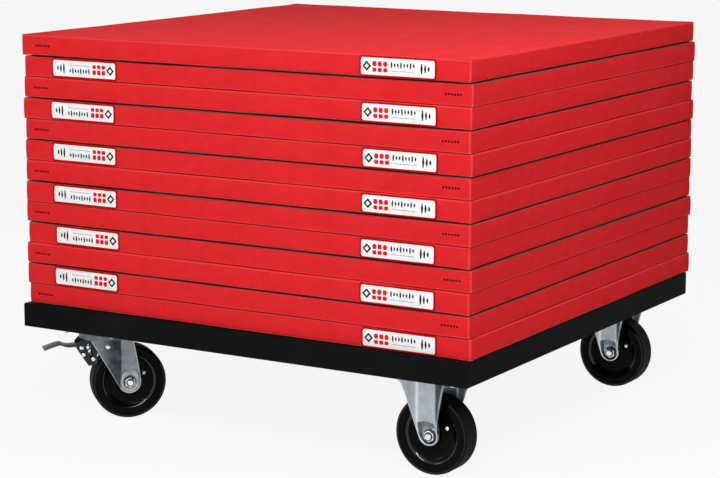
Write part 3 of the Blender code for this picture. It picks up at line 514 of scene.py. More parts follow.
@dataclass(frozen=True)
class Ink(Look):
    """Printed vinyl or plain plastic in one colour, with a faint tooth."""

    colour: Colour
    roughness: float = 0.42

    def sockets(self, graph: Graph, place: Socket) -> dict:
        """Returns the values of the shader's sockets."""
        tooth = graph.noise(place, 0.7 * MM, 2.0)
        wash = graph.noise(place, 14 * MM, 2.0)
        darker = tuple(0.9 * channel for channel in self.colour)
        return dict(
            Base_Color=graph.mix(wash.ramp(0.4, 0.8), self.colour, darker),
            Roughness=tooth * 0.2 + (self.roughness - 0.1),
            Specular_IOR_Level=0.03,
            Normal=graph.bump(tooth, 0.04 * MM),
        )


class Finish(Enum):
    """The finishes that the trolley's pieces are made in."""

    COVER = CoverFabric()
    GRIP = GripFabric()
    PAINT = Paint()
    ZINC = Zinc()
    ZINC_BRIGHT = Zinc(
        "bright_zinc", srgb(244, 247, 250), srgb(200, 208, 218), roughness=0.22, spangle=3 * MM
    )
    ZINC_DARK = Zinc("dark_zinc", srgb(78, 81, 85), srgb(48, 51, 56), roughness=0.4)
    WHEEL = MouldedBlack()
    BEARING = TurnedMetal("bearing_bronze", srgb(178, 142, 92))
    VINYL = Ink("label_vinyl", srgb(248, 249, 248), 0.35)
    INK_DARK = Ink("label_dark_ink", srgb(24, 26, 42))
    INK_RED = Ink("label_red_ink", srgb(232, 22, 32))
    WELDED = Ink("welded_border", srgb(190, 4, 8), 0.5)
    INK_GREY = Ink("label_grey_ink", srgb(176, 178, 184))
    EYELET = Ink("dark_eyelet", srgb(54, 22, 28), 0.5)
    # Painted shade: a dark disc standing for the shade inside each vent's hole.
    HOLE = Ink("vent_hole", srgb(22, 8, 10), 0.7)


@dataclass
class FinishShop:
    """Hands out each finish's material, which it builds once."""

    made: dict[Finish, bpy.types.Material] = field(default_factory=dict)

    def get(self, finish: Finish) -> bpy.types.Material:
        """Returns the finish's material."""
        if finish not in self.made:
            self.made[finish] = finish.value.material()
        return self.made[finish]

    def dress(self, piece: bpy.types.Object, *finishes: Finish) -> bpy.types.Object:
        """Gives a piece its finishes, one for each material slot in order."""
        if piece.data.materials:
            piece.data.materials.clear()
        for finish in finishes:
            piece.data.materials.append(self.get(finish))
        return piece


SHOP = FinishShop()


def new_piece(name: str, data: bpy.types.ID, where: Matrix | None = None) -> bpy.types.Object:
    """Adds an object to the scene.

    Args:
        name: Its name.
        data: Its mesh, curve, light or camera.
        where: Its place, or none for data that is already in place.

    Returns:
        The new object.
    """
    piece = bpy.data.objects.new(name, data)
    bpy.context.scene.collection.objects.link(piece)
    if where is not None:
        piece.matrix_world = where
    return piece


def add_piece(
    name: str,
    mesh: bpy.types.Mesh,
    where: Matrix | None,
    finishes: Sequence[Finish],
    body: str,
    slot: str,
    *replaced: str,
) -> bpy.types.Object:
    """Adds a finished piece and fixes it to its body.

    Args:
        name: Its name.
        mesh: Its mesh.
        where: Its place, or none for a mesh that is already in place.
        finishes: Its finishes, in the order of its material numbers.
        body: The body that it moves with.
        slot: The record's material slot; not used.
        replaced: The nodes that it stands for.

    Returns:
        The piece.
    """
    piece = SHOP.dress(new_piece(name, mesh, where), *finishes)
    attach(piece, body)
    if replaced:
        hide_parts(*replaced)
    LOG.info("%s rides on %s", name, body)
    return piece


def modify(piece: bpy.types.Object, name: str, kind: str, **settings: object) -> bpy.types.Modifier:
    """Adds a modifier with its settings, and returns it."""
    return assign(piece.modifiers.new(name, kind), **settings)


def shade(mesh: bpy.types.Mesh, angle: float = 35.0) -> bpy.types.Mesh:
    """Shades a mesh smooth apart from edges sharper than the angle, in degrees."""
    mesh.shade_smooth()
    mesh.set_sharp_from_angle(angle=math.radians(angle))
    return mesh


def applied(piece: bpy.types.Object) -> bpy.types.Mesh:
    """Returns the piece's mesh with its modifiers applied, and removes the piece."""
    bpy.context.view_layer.update()
    mesh = bpy.data.meshes.new_from_object(piece.evaluated_get(bpy.context.evaluated_depsgraph_get()))
    mesh.name = piece.name
    bpy.data.objects.remove(piece, do_unlink=True)
    return mesh


def baked(bm: bmesh.types.BMesh, name: str) -> bpy.types.Mesh:
    """Returns a new mesh with what the bmesh holds, and frees the bmesh."""
    mesh = bpy.data.meshes.new(name)
    bm.to_mesh(mesh)
    bm.free()
    return mesh


def turned(name: str, profile: Sequence[Point2], steps: int = 64, closed: bool = True) -> bpy.types.Mesh:
    """Returns a mesh turned about Z.

    Args:
        name: The mesh's name.
        profile: Radius and height pairs in millimetres, outer side downwards.
        steps: The number of sides.
        closed: Whether the profile's ends join, as on a ring.

    Returns:
        The turned mesh.
    """
    mesh = bpy.data.meshes.new(name)
    count = len(profile)
    edges = [(i, i + 1) for i in range(count - 1)] + ([(count - 1, 0)] if closed else [])
    mesh.from_pydata([(r * MM, 0, z * MM) for r, z in profile], edges, [])
    piece = new_piece(name, mesh)
    merging = {"use_merge_vertices": True, "merge_threshold": WELD}
    modify(piece, "turn", "SCREW", steps=steps, render_steps=steps, **merging)
    return applied(piece)


def from_curve(name: str, lines: Sequence[Sequence], cyclic: bool, **settings: object) -> bpy.types.Mesh:
    """Returns the mesh of a curve.

    Args:
        name: The mesh's name.
        lines: The points of each of its lines, in millimetres.
        cyclic: Whether the lines are closed.
        settings: The curve's properties, in metres.

    Returns:
        The mesh.
    """
    curve = assign(bpy.data.curves.new(name, "CURVE"), **settings)
    for line in lines:
        spline = curve.splines.new("POLY")
        spline.points.add(len(line) - 1)
        for point, place in zip(spline.points, line):
            point.co = (*(value * MM for value in (*place, 0)[:3]), 1)
        spline.use_cyclic_u = cyclic
    return applied(new_piece(name, curve))


def plate(name: str, outlines: list, thickness: float, edge: float, rounds: int = 2) -> bpy.types.Mesh:
    """Returns a flat plate with rounded edges, its middle plane at z = 0. Sizes are in millimetres.

    Args:
        name: The mesh's name.
        outlines: The outer outline, and any holes after it.
        thickness: The plate's thickness.
        edge: The radius of its edges.
        rounds: The number of steps round an edge.

    Returns:
        The plate's mesh.
    """
    radius = edge * MM
    shape = {"dimensions": "2D", "fill_mode": "BOTH", "extrude": thickness * MM / 2 - radius}
    rim = {"bevel_depth": radius, "bevel_resolution": rounds, "offset": -radius}
    mesh = from_curve(name, outlines, True, **shape, **rim)
    bm = bmesh.new()
    bm.from_mesh(mesh)
    bmesh.ops.remove_doubles(bm, verts=bm.verts, dist=WELD)
    bm.to_mesh(mesh)
    bm.free()
    return mesh


def joined(name: str, *parts: Part) -> bpy.types.Mesh:
    """Returns one mesh made of several, each moved by its matrix, with their material numbers kept."""
    bm = bmesh.new()
    for mesh, where in parts:
        mesh.transform(where)
        bm.from_mesh(mesh)
        bpy.data.meshes.remove(mesh)
    return baked(bm, name)


def mark_painted_light(mesh: bpy.types.Mesh, rule: Callable[[Vector], float]) -> bpy.types.Mesh:
    """Stores the painted light at each point of a mesh, from -1 for shade to 1 for a highlight, by a rule on
    its place.
    """
    layer = mesh.attributes.new("wear", "FLOAT", "POINT")
    layer.data.foreach_set("value", [rule(vertex.co) for vertex in mesh.vertices])
    return mesh


def paint_faces(mesh: bpy.types.Mesh, number: int) -> bpy.types.Mesh:
    """Gives all of a mesh's faces one material number."""
    mesh.polygons.foreach_set("material_index", [number] * len(mesh.polygons))
    return mesh


@dataclass(frozen=True)
class Joint:
    """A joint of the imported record."""

    name: str

    @property
    def place(self) -> Vector:
        """The joint's place at rest."""
        return Vector(next(entry["pos_m"] for entry in frame["joints"] if entry["name"] == self.name))


@dataclass(frozen=True)
class Wheel:
    """A one-piece moulded wheel, turned about its own Y axis. Its sizes are in millimetres."""

    radius: float = 75
    tread_width: float = 45
    shoulder: float = 5
    lip: float = 2
    lip_round: float = 1.2
    tread_depth: float = 18
    rim_depth: float = 9
    web_dishing: float = 1
    hub_radius: float = 19
    hub_blend: float = 6
    hub_width: float = 40
    bore: float = 10.3
    nipple_place: float = 34
    nipple_angle: float = 28.0
    sides: int = 96

    def half_profile(self) -> list[Point2]:
        """Returns the wheel's section on one side of its middle, from the bore out."""
        half, hub = self.tread_width / 2, self.hub_width / 2
        web = half - self.rim_depth
        rim = self.radius - self.tread_depth
        cone = rim - 2.5
        face = self.radius - self.shoulder
        lip = self.lip_round
        return [
            (self.bore, hub - 0.5),
            (self.bore + 0.5, hub),
            *arc((self.hub_radius - 1.5, hub - 1.5), 1.5, 90, 10, 3),
            *arc((self.hub_radius + self.hub_blend, web - self.web_dishing + 6), 6, 180, 270, 5),
            (cone - 13, web - 0.4),
            (cone - 10, web + 0.4),
            (cone - 7.5, web + 1.8),
            (cone - 5.4, half - self.lip - 4.4),
            *arc((cone + 5.5, half - self.lip - 12.8), 13.5, 136, 114, 4),
            (rim - 0.4, half - self.lip),
            *arc((rim + lip + 0.2, half - lip), lip, 165, 90, 3),
            (face - 0.5, half),
            (face - 0.1, half - 0.05),
            (face + 0.2, half - 0.2),
            (face + 2.8, half - 1.7),
            *arc((self.radius - 3, half - 4.4), 3, 56, 4, 5),
            (self.radius - 0.05, half - 6),
            (self.radius, 0.35),
        ]

    def mesh(self) -> bpy.types.Mesh:
        """Builds the wheel with its grease nipple."""
        wheel = turned("wheel", with_mirror(self.half_profile()), self.sides)
        web = self.tread_width / 2 - self.rim_depth - self.web_dishing
        section = [(0, 6), (1.6, 6), (2.4, 5.2), (2.0, 4), (3.2, 3), (4, 2.6), (4, -1), (0, -1)]
        nipple = turned("nipple", [(r, web + z) for r, z in section], 24, closed=False)
        beside = rotation(self.nipple_angle, "Z") @ Vector((self.nipple_place, 0, 0))
        mesh = joined("wheel", (wheel, STILL), (paint_faces(nipple, 1), shift(*beside)))
        mesh.transform(ALONG_Y)
        return shade(mesh, 38)


@dataclass(frozen=True)
class LegShape:
    """A pressed fork leg, as a depth over its side view.

    x runs along the wheel's plane and z is the height above the axle. Depths are measured
    from the wheel's middle to the leg's outer face.
    """

    centre: Point2
    end_radius: float
    top: float
    sheet: float = 3.5 * MM
    rim: float = 2.5 * MM
    seat: float = 23.8 * MM
    seat_rise: float = 11 * MM
    seat_foot: float = 24 * MM
    seat_top: float = 38 * MM
    seat_blend: float = 2.2 * MM
    # How dark the painted shade along the seat's edge is.
    seat_shade: float = 0.55
    arch: float = 0.35
    axle_x: float = 0.0

    def edges(self, z: float) -> Point2:
        """Returns the left and right edges at a height."""
        raise NotImplementedError

    def wall(self, x: float, z: float) -> float:
        """Returns the outer face's depth away from the seat round the axle."""
        raise NotImplementedError

    def seat_share(self, x: float, z: float) -> float:
        """Returns 1 inside the sunk seat round the axle and 0 outside it, softly."""
        radius = self.end_radius - self.rim
        dx = x - self.centre[0]
        above = max(z - self.seat_foot, 0) / self.arch + min(z - self.centre[1], 0)
        return smooth_step(radius - math.hypot(dx, above), -0.6 * MM, self.seat_blend)

    def depth(self, x: float, z: float) -> float:
        """Returns the outer face's depth at a point."""
        wall = self.wall(x, z)
        floor = self.seat + (wall - self.seat) * smooth_step(z, self.seat_rise, self.seat_top)
        return wall + (floor - wall) * self.seat_share(x, z)

    def ridges(self, x: float, z: float) -> float:
        """Returns the painted light on the leg's own pressed lines, from -1 for shade to 1 for a highlight.
        """
        raise NotImplementedError

    def wear(self, x: float, z: float) -> float:
        """Returns the painted light at a point: a highlight along the rim, shade by the seat and the nut,
        and the pressed lines' own inside it.
        """
        left, right = self.edges(max(z, self.centre[1]))
        to_rim = min(x - left, right - x)
        if z < self.centre[1]:
            to_rim = self.end_radius - math.hypot(x - self.centre[0], z - self.centre[1])
        # Painted highlight along the rim.
        rim = 0.55 * (1 - smooth_step(to_rim, 0.8 * MM, 2.4 * MM))
        share = self.seat_share(x, z)
        # Painted shade along the seat's edge.
        seat_edge = -self.seat_shade * 4 * share * (1 - share)
        inside = self.ridges(x, z) * (1 - share)
        # Painted shade round the nut.
        from_nut = math.hypot(x - self.axle_x, z)
        shade_round_nut = -0.85 * (1 - smooth_step(from_nut, 11 * MM, 17 * MM))
        return max(min(rim + seat_edge + inside + shade_round_nut, 1.0), -1.0)

    def rows(self) -> list[float]:
        """Returns the heights of the mesh's rows, close together round the lower end."""
        angles = (4, 12, 20, 28, 36, 45, 54, 63, 72, 81, 90)
        low = [self.centre[1] - self.end_radius * math.cos(math.radians(angle)) for angle in angles]
        count = 46
        return low + [low[-1] + (self.top - low[-1]) * i / count for i in range(1, count + 1)]

    def mesh(self, side: int, columns: int = 44) -> bpy.types.Mesh:
        """Builds the leg as a sheet of even thickness.

        Args:
            side: 1 for the leg at +Y, -1 for the one at -Y.
            columns: The number of steps across the leg.

        Returns:
            The leg's mesh, with z measured from the axle.
        """
        bm = bmesh.new()
        grid: list[list[bmesh.types.BMVert]] = []
        for z in self.rows():
            left, right = self.edges(z)
            row = []
            for step in range(columns + 1):
                even = step / columns
                share = 0.725 * even + 0.1375 * (1 - math.cos(math.pi * even))
                x = left + (right - left) * share
                row.append(bm.verts.new((x, side * self.depth(x, z), z)))
            grid.append(row)
        for lower, upper in zip(grid, grid[1:]):
            for i in range(columns):
                corners = [lower[i], lower[i + 1], upper[i + 1], upper[i]]
                bm.faces.new(corners if side < 0 else corners[::-1])
        piece = new_piece("leg", baked(bm, "leg"))
        even = {"offset": -1.0, "use_even_offset": True, "use_quality_normals": True}
        modify(piece, "sheet", "SOLIDIFY", thickness=self.sheet, **even)
        sharp = {"limit_method": "ANGLE", "angle_limit": math.radians(50)}
        modify(piece, "edge", "BEVEL", width=0.9 * MM, segments=3, **sharp)
        return applied(piece)


@dataclass(frozen=True)
class FixedLeg(LegShape):
    """The fixed fork's leg: a flat web between flanges that lean outwards."""

    web: float = 42 * MM
    web_half: float = 18 * MM
    lean: float = 1.4

    def edges(self, z: float) -> Point2:
        """Returns the left and right edges at a height."""
        flare = max(z - 58 * MM, 0)
        half = 25.2 * MM + 0.185 * (z - 25 * MM) + 2.1 * flare * flare
        below = z - self.centre[1]
        if below < 0:
            half = math.sqrt(max(self.end_radius**2 - below**2, 0))
        else:
            half = min(half, self.end_radius + 0.13 * below + 0.012 / MM * 0.1 * below * below)
        return (self.centre[0] - half, self.centre[0] + half)

    def wall(self, x: float, z: float) -> float:
        """Returns the outer face's depth away from the seat."""
        across = abs(x - self.centre[0])
        channel = self.web + max(across - self.web_half, 0) / self.lean
        channel = -soft_min(-self.web, -channel, 2 * MM)
        low = 31.8 * MM + max(z + 3 * MM, 0) * 0.385
        high = 43 * MM + (z - 25 * MM) * 0.21
        envelope = soft_min(low, high, 4 * MM)
        return soft_min(channel, envelope, 3 * MM)

    def ridges(self, x: float, z: float) -> float:
        """Returns the painted light of the pressed lines: a highlight at each knee, and shade on the
        flanges.
        """
        across = abs(x - self.centre[0])
        knee = math.exp(-(((across - self.web_half) / (3.0 * MM)) ** 2))
        flange = smooth_step(across, self.web_half + 2 * MM, self.web_half + 6 * MM)
        # Painted highlight stronger on the left knee, painted shade stronger on the right flange.
        painted_highlight, flange_shade = (0.85, 0.2) if x < self.centre[0] else (0.3, 0.8)
        return painted_highlight * knee - flange_shade * flange


@dataclass(frozen=True)
class SwivelLeg(LegShape):
    """The swivel fork's leg: a flat web, with a raised rib along its trailing side."""

    seat_foot: float = 11 * MM
    seat_top: float = 34 * MM
    seat_blend: float = 4.5 * MM
    seat_shade: float = 0.1
    arch: float = 1.0
    front_top: float = -30 * MM
    back_top: float = 57 * MM
    web: float = 31.5 * MM
    rib: float = 36 * MM
    rib_start: float = 25 * MM
    rib_slope: float = 8 * MM
    foot_depth: float = 24.7 * MM
    lean_end: float = 46 * MM

    def _edge(self, z: float, top_x: float, side: int) -> float:
        """Returns one straight edge that is tangent to the round lower end."""
        dx, dz = top_x - self.centre[0], self.top - self.centre[1]
        angle = math.atan2(dz, dx) - side * math.acos(self.end_radius / math.hypot(dx, dz))
        touch_x = self.centre[0] + self.end_radius * math.cos(angle)
        touch_z = self.centre[1] + self.end_radius * math.sin(angle)
        if z < touch_z:
            square = self.end_radius**2 - (z - self.centre[1]) ** 2
            return self.centre[0] + side * math.sqrt(max(square, 0))
        share = (z - touch_z) / (self.top - touch_z)
        return touch_x + (top_x - touch_x) * share

    def edges(self, z: float) -> Point2:
        """Returns the left and right edges at a height."""
        return (self._edge(z, self.front_top, -1), self._edge(z, self.back_top, 1))

    def wall(self, x: float, z: float) -> float:
        """Returns the outer face's depth away from the seat."""
        share = smooth_step(x, self.rib_start - 1 * MM, self.rib_start + self.rib_slope + 1 * MM)
        upper = self.web + (self.rib - self.web) * share
        return self.foot_depth + (upper - self.foot_depth) * smooth_step(z, -6 * MM, self.lean_end)

    def ridges(self, x: float, z: float) -> float:
        """Returns the painted light of the pressed lines: painted shade over the face, darkest in the crease
        beside the rib.
        """
        middle = self.rib_start + self.rib_slope / 2
        # Painted shade, deepest at the crease beside the rib and lightest towards the front edge.
        crease_shade = 1.3 * math.exp(-(((x - middle) / (4.6 * MM)) ** 2))
        panel_shade = 0.42 + 0.5 * smooth_step(x, -24 * MM, middle) if x < middle else 0.48
        return -max(crease_shade, panel_shade)


def hex_nut(across_flats: float, height: float, hole: float) -> bpy.types.Mesh:
    """Returns a hexagon nut on Z with chamfered corners, standing on z = 0, its hole left open."""
    mesh = plate("nut", [hexagon(across_flats), polygon(hole, 24)], height, 0.5, 1)
    middle = height * MM / 2
    for vertex in mesh.vertices:
        over = max(math.hypot(vertex.co.x, vertex.co.y) - across_flats * MM / 2, 0)
        limit = middle - over * 0.55
        vertex.co.z = max(min(vertex.co.z, limit), -limit) + middle
    return mesh


def washer(radius: float, hole: float, thickness: float) -> bpy.types.Mesh:
    """Returns a flat washer on Z, standing on z = 0."""
    mesh = plate("washer", [polygon(radius, 32), polygon(hole, 24)], thickness, 0.3, 1)
    mesh.transform(shift(z=thickness / 2))
    return mesh


def threaded_end(radius: float, length: float, pitch: float = 1.25) -> bpy.types.Mesh:
    """Returns a rod's threaded end on Z, from z = 0 up to its chamfered tip."""
    profile: list[Point2] = [(0, length), (radius - 0.9, length), (radius - 0.1, length - 0.8)]
    for turn in range(int((length - pitch) / pitch)):
        height = length - pitch * (turn + 0.9)
        profile += [(radius, height), (radius - 0.55, height - pitch / 2)]
    profile += [(radius - 0.3, 0), (0, 0)]
    return turned("thread", profile, 24, closed=False)


def rivet(half: float, head: float) -> bpy.types.Mesh:
    """Returns a rivet on Z with a domed head at each end."""
    dome = [(0, half + 2), (head * 0.45, half + 1.75), (head * 0.8, half + 1.1), (head, half)]
    upper = dome + [(head, half - 0.4), (3, half - 0.4)]
    return turned("rivet", with_mirror(upper), 28, closed=False)


@dataclass
class Caster:
    """What the fixed and the swivel casters share: wheel, axle, plate, and nuts under the deck.

    The places are in metres, and the sizes are in millimetres.
    """

    prefix: str
    wheel_body: str
    fork_body: str
    axle: Matrix
    plate_centre: Vector
    axle_radius: float = 6
    seat_half: float = 24.1
    hex_flats: float = 19
    hex_height: float = 8
    collar_height: float = 1.5
    stud_spacing: Point2 = (114, 80)
    plate_underside: float = 186
    plate_sheet: float = 4
    wheel: Wheel = field(default_factory=Wheel)

    @property
    def axle_height(self) -> float:
        """The axle's height above the floor, in millimetres."""
        return self.axle.translation.z / MM

    def add(
        self,
        name: str,
        mesh: bpy.types.Mesh,
        where: Matrix | None,
        finishes: Sequence[Finish],
        body: str,
        *nodes: str,
        slot: str = "zinc_plate",
    ) -> None:
        """Adds one piece of the caster.

        Args:
            name: Its name after the caster's own.
            mesh: Its mesh.
            where: Its place, or none for a mesh that is already in place.
            finishes: Its finishes.
            body: The body that it moves with.
            nodes: The nodes that it stands for, after the caster's name.
            slot: The record's material slot.
        """
        replaced = [f"{self.prefix}_{node}" for node in nodes]
        add_piece(f"{self.prefix}_{name}", mesh, where, finishes, body, slot, *replaced)

    def build(self) -> None:
        """Builds every piece of the caster."""
        self.build_wheel()
        self.build_axle()
        self.build_plate_nuts()

    def build_wheel(self) -> None:
        """Makes the moulded wheel, and the sleeve in its hub."""
        body, finishes = self.wheel_body, (Finish.WHEEL, Finish.ZINC_BRIGHT)
        self.add("moulded_wheel", self.wheel.mesh(), self.axle, finishes, body, "wheel", slot="wheel_black")
        half = self.wheel.hub_width / 2
        outside = [(9.6, half + 0.1), (10, half - 0.4), (10, 0.4 - half), (9.6, -half - 0.1)]
        inside = [(6.8, -half - 0.1), (6.3, 0.4 - half), (6.3, half - 0.4), (6.8, half + 0.1)]
        sleeve = turned("sleeve", outside + inside, 48)
        sleeve.transform(ALONG_Y)
        finishes = (Finish.BEARING,)
        self.add("bearing_sleeve", shade(sleeve), self.axle, finishes, body, "bearing", slot="bearing_metal")

    def build_axle(self) -> None:
        """Makes the axle bolt, and the lock nut on its threaded end."""
        seat, radius, height = self.seat_half, self.axle_radius, self.hex_height
        away = rotation(-90, "X")
        rod = [(0, 2 * seat), (radius, 2 * seat), (radius, 0), (0, 0)]
        crown = [(0, 0.6), (7.4, 0.6), (8, 0.1), (8, -0.4), (0, -0.4)]
        bolt = joined(
            "bolt",
            (turned("shank", rod, 32, closed=False), away @ shift(z=-seat)),
            (plate("head", [hexagon(self.hex_flats)], height, 0.6), shift(y=seat + height / 2) @ away),
            (turned("cap", crown, 32, closed=False), shift(y=seat + height) @ away),
            (threaded_end(radius, height + 3), shift(y=-seat) @ ALONG_Y),
        )
        self.add("axle", shade(bolt), self.axle, (Finish.ZINC_BRIGHT,), self.fork_body, "axle_bolt")
        nut = hex_nut(self.hex_flats, height - self.collar_height, radius + 0.1)
        section = [(6.2, 1.5), (7.4, 1.5), (8.4, 0.7), (8.6, -0.4), (6.2, -0.4)]
        collar = paint_faces(turned("collar", section, 32), 1)
        lock = joined(
            "nut",
            (nut, shift(y=-seat - 0.05) @ ALONG_Y),
            (collar, shift(y=self.collar_height - seat - height) @ ALONG_Y),
        )
        finishes = (Finish.ZINC_BRIGHT, Finish.ZINC_DARK)
        self.add("lock_nut", shade(lock), self.axle, finishes, self.fork_body, "axle_nut")

    def build_plate_nuts(self) -> None:
        """Makes the four nuts and washers that hold the caster on its studs."""
        parts: list[Part] = []
        centre, thickness = self.plate_centre / MM, 1.6
        for sx, sy in itertools.product((-1, 1), repeat=2):
            x, y = (centre[i] + sign * self.stud_spacing[i] / 2 for i, sign in enumerate((sx, sy)))
            under = shift(x, y, self.plate_underside) @ rotation(180, "X")
            turn = Matrix.Rotation(0.9 * sx + 1.7 * sy, 4, "Z")
            parts.append((washer(8, 4.3, thickness), under))
            parts.append((hex_nut(13, 6.5, 4.2), under @ turn @ shift(z=thickness)))
        mesh = shade(joined("plate_nuts", *parts))
        self.add("plate_nuts", mesh, None, (Finish.ZINC_BRIGHT,), "chassis")

    def top_plate(self, *openings: list[Point2]) -> bpy.types.Mesh:
        """Returns the caster's plate, with its four stud holes after any other openings."""
        half_x, half_y = (spacing / 2 for spacing in self.stud_spacing)
        studs = [
            [(sx * half_x + x, sy * half_y + y) for x, y in polygon(4.3, 20)]
            for sx, sy in itertools.product((-1, 1), repeat=2)
        ]
        return plate("top", [rounded_rectangle(140, 110, 10), *openings, *studs], self.plate_sheet, 0.8)


@dataclass
class FixedCaster(Caster):
    """A caster whose fork is pressed in one with its top plate."""

    def build(self) -> None:
        """Builds every piece of the caster."""
        super().build()
        above = self.plate_underside - self.axle_height
        leg = FixedLeg(centre=(0, 3.5 * MM), end_radius=20.5 * MM, top=(above + 1) * MM)
        lift = shift(z=above + self.plate_sheet / 2)
        mesh = joined("fork", (leg.mesh(1), STILL), (leg.mesh(-1), STILL), (self.top_plate(), lift))
        # Painted highlights and shade on the legs, none on the plate.
        under = leg.top - 4 * MM
        mark_painted_light(mesh, lambda co: leg.wear(co.x, co.z) if co.z < under else 0.0)
        self.add("pressed_fork", shade(mesh, 40), self.axle, (Finish.ZINC,), self.fork_body, "fork")


@dataclass
class SwivelCaster(Caster):
    """A braked caster whose fork turns on a ball race."""

    trail: float = 51
    crown_top: float = 170.4
    crown_underside: float = 166.4
    cheek_place: float = 18.5
    spacer: Point2 = (-40.5, 136)
    crown_rivet: Point2 = (7, 152)
    pedal_pivot: Point2 = (-44.3, 150.7)
    shoe_pivot: Point2 = (-20.98, 125.97)

    def build(self) -> None:
        """Builds every piece of the caster."""
        super().build()
        self.base = self.axle @ shift(x=-self.trail, z=-self.axle_height)
        self.build_fork()
        self.build_head()
        self.build_brake()

    def build_fork(self) -> None:
        """Makes the pressed fork, with its crown, brake cheeks, rivets and spring."""
        height = self.axle_height
        leg = SwivelLeg(
            centre=(self.trail * MM, 0),
            axle_x=self.trail * MM,
            end_radius=23 * MM,
            top=(self.crown_top - height - 0.5) * MM,
        )
        crown = turned("crown", self.crown_profile(), 72)
        parts = [(leg.mesh(1), shift(z=height)), (leg.mesh(-1), shift(z=height)), (crown, STILL)]
        for side in (-1, 1):
            cheek = plate("cheek", [self.cheek_outline(), self.cheek_window()], 3, 0.7)
            parts.append((paint_faces(cheek, 1), shift(y=side * self.cheek_place) @ ALONG_Y))
        under, beside = (self.crown_underside - 1) * MM, 21 * MM

        def wear(co: Vector) -> float:
            """Returns the painted light at a point of the fork or of what is fixed to it: the legs' own, and
            painted shade elsewhere.
            """
            on_leg = co.z < under and abs(co.y) > beside
            return leg.wear(co.x, co.z - height * MM) if on_leg else -0.6

        fork = mark_painted_light(joined("fork", *parts), wear)
        pins = ((self.spacer, self.cheek_place, 4.5), (self.crown_rivet, 29.75, 5.2))
        rivets = [(rivet(half + 1.4, head), shift(x, 0, z) @ ALONG_Y) for (x, z), half, head in pins]
        heads = paint_faces(joined("rivets", *rivets, (self.spring(), STILL)), 2)
        mark_painted_light(heads, lambda co: 0.0)
        mesh = shade(joined("fork", (fork, STILL), (heads, STILL)), 40)
        finishes = (Finish.ZINC, Finish.ZINC_DARK, Finish.ZINC_BRIGHT)
        self.add("pressed_fork", mesh, self.base, finishes, self.fork_body, "fork")

    def spring(self) -> bpy.types.Mesh:
        """Returns the wire spring between the brake cheeks, whose legs rest on the rivets."""
        coils, steps, radius, width = 4.5, 16, 5.2, 11
        line = []
        for step in range(int(coils * steps) + 1):
            angle = 2 * math.pi * step / steps
            y = (step / (coils * steps) - 0.5) * width
            line.append(Vector((-31 + radius * math.cos(angle), y, 145 + radius * math.sin(angle))))
        line.insert(0, line[0] + Vector((2, 0, 15)))
        line.append(line[-1] + Vector((3, 0, -14)))
        wire = {"dimensions": "3D", "bevel_depth": 0.9 * MM, "bevel_resolution": 2, "use_fill_caps": True}
        return from_curve("spring", [line], False, **wire)

    def crown_profile(self) -> list[Point2]:
        """Returns the crown's section: a flat cup with a rolled lip round the ball race."""
        low, top = self.crown_underside, self.crown_top
        return [
            (8.3, top),
            (42, top),
            (42.5, top + 0.5),
            (42.5, top + 11),
            *arc((44.25, top + 11), 1.75, 180, 0, 6),
            (46, low + 3),
            *arc((43, low + 3), 3, 0, -90, 5)[1:],
            (8.3, low),
        ]

    def cheek_window(self) -> list[Point2]:
        """Returns the outline of the long window in a brake cheek."""
        start, end = (-31, 153), (-25, 135)
        lean = math.degrees(math.atan2(end[1] - start[1], end[0] - start[0]))
        return arc(end, 4.2, lean - 90, lean + 90, 8) + arc(start, 4.2, lean + 90, lean + 270, 8)

    def cheek_outline(self) -> list[Point2]:
        """Returns the brake cheek's side view, its corners rounded off."""
        cut = 3.2
        sharp = ((-44, 168), (-54, 158), (-50, 142), (-31, 112), (-20, 113), (-12, 138), (-8, 168))
        corners = [Vector(corner) for corner in sharp]
        points: list[Point2] = []
        for before, here, after in zip(corners[-1:] + corners, corners, corners[1:] + corners[:1]):
            start = here + (before - here).normalized() * cut
            end = here + (after - here).normalized() * cut
            for share in (0, 0.25, 0.5, 0.75, 1):
                points.append(tuple(start.lerp(here, share).lerp(here.lerp(end, share), share)))
        return points

    def build_head(self) -> None:
        """Makes the top plate with its ball race, the king pin and the balls."""
        centre = Matrix.Translation((self.plate_centre.x, self.plate_centre.y, 0))
        bright = (Finish.ZINC_BRIGHT,)
        over, low = self.plate_underside + 1, self.plate_underside - 7
        section = [(40, over), (40, low + 1.5), (38.5, low), (29.5, low), (28, low + 1.5), (28, over)]
        lift = shift(z=self.plate_underside + self.plate_sheet / 2)
        top = self.top_plate(polygon(8.3, 32))
        mesh = joined("plate", (top, lift), (turned("race", section, 72), STILL))
        self.add("race_plate", shade(mesh, 40), centre, (Finish.ZINC,), "chassis", "top_plate")
        under = self.crown_underside - 0.3
        shank = [(0, 189.7), (7.4, 189.7), (8, 189.1), (8, under), (13, under)]
        foot = [(13, under - 1), (10.5, under - 2.6), (6, under - 3), (0, under - 3)]
        pin = turned("pin", shank + foot, 48, closed=False)
        self.add("riveted_pin", shade(pin), centre, bright, "chassis", "king_pin")
        ball = 4
        height = self.crown_top + 0.3 + ball
        bm = bmesh.new()
        for x, y in polygon(34, 20):
            where = shift(x, y, height)
            bmesh.ops.create_uvsphere(bm, u_segments=20, v_segments=12, radius=ball * MM, matrix=where)
        cage = plate("cage", [polygon(37, 64), polygon(31, 64)], 1.2, 0.3, 1)
        mesh = joined("balls", (baked(bm, "balls"), STILL), (cage, shift(z=height)))
        self.add("ball_ring", shade(mesh), self.base, bright, self.fork_body, "ball_cage")

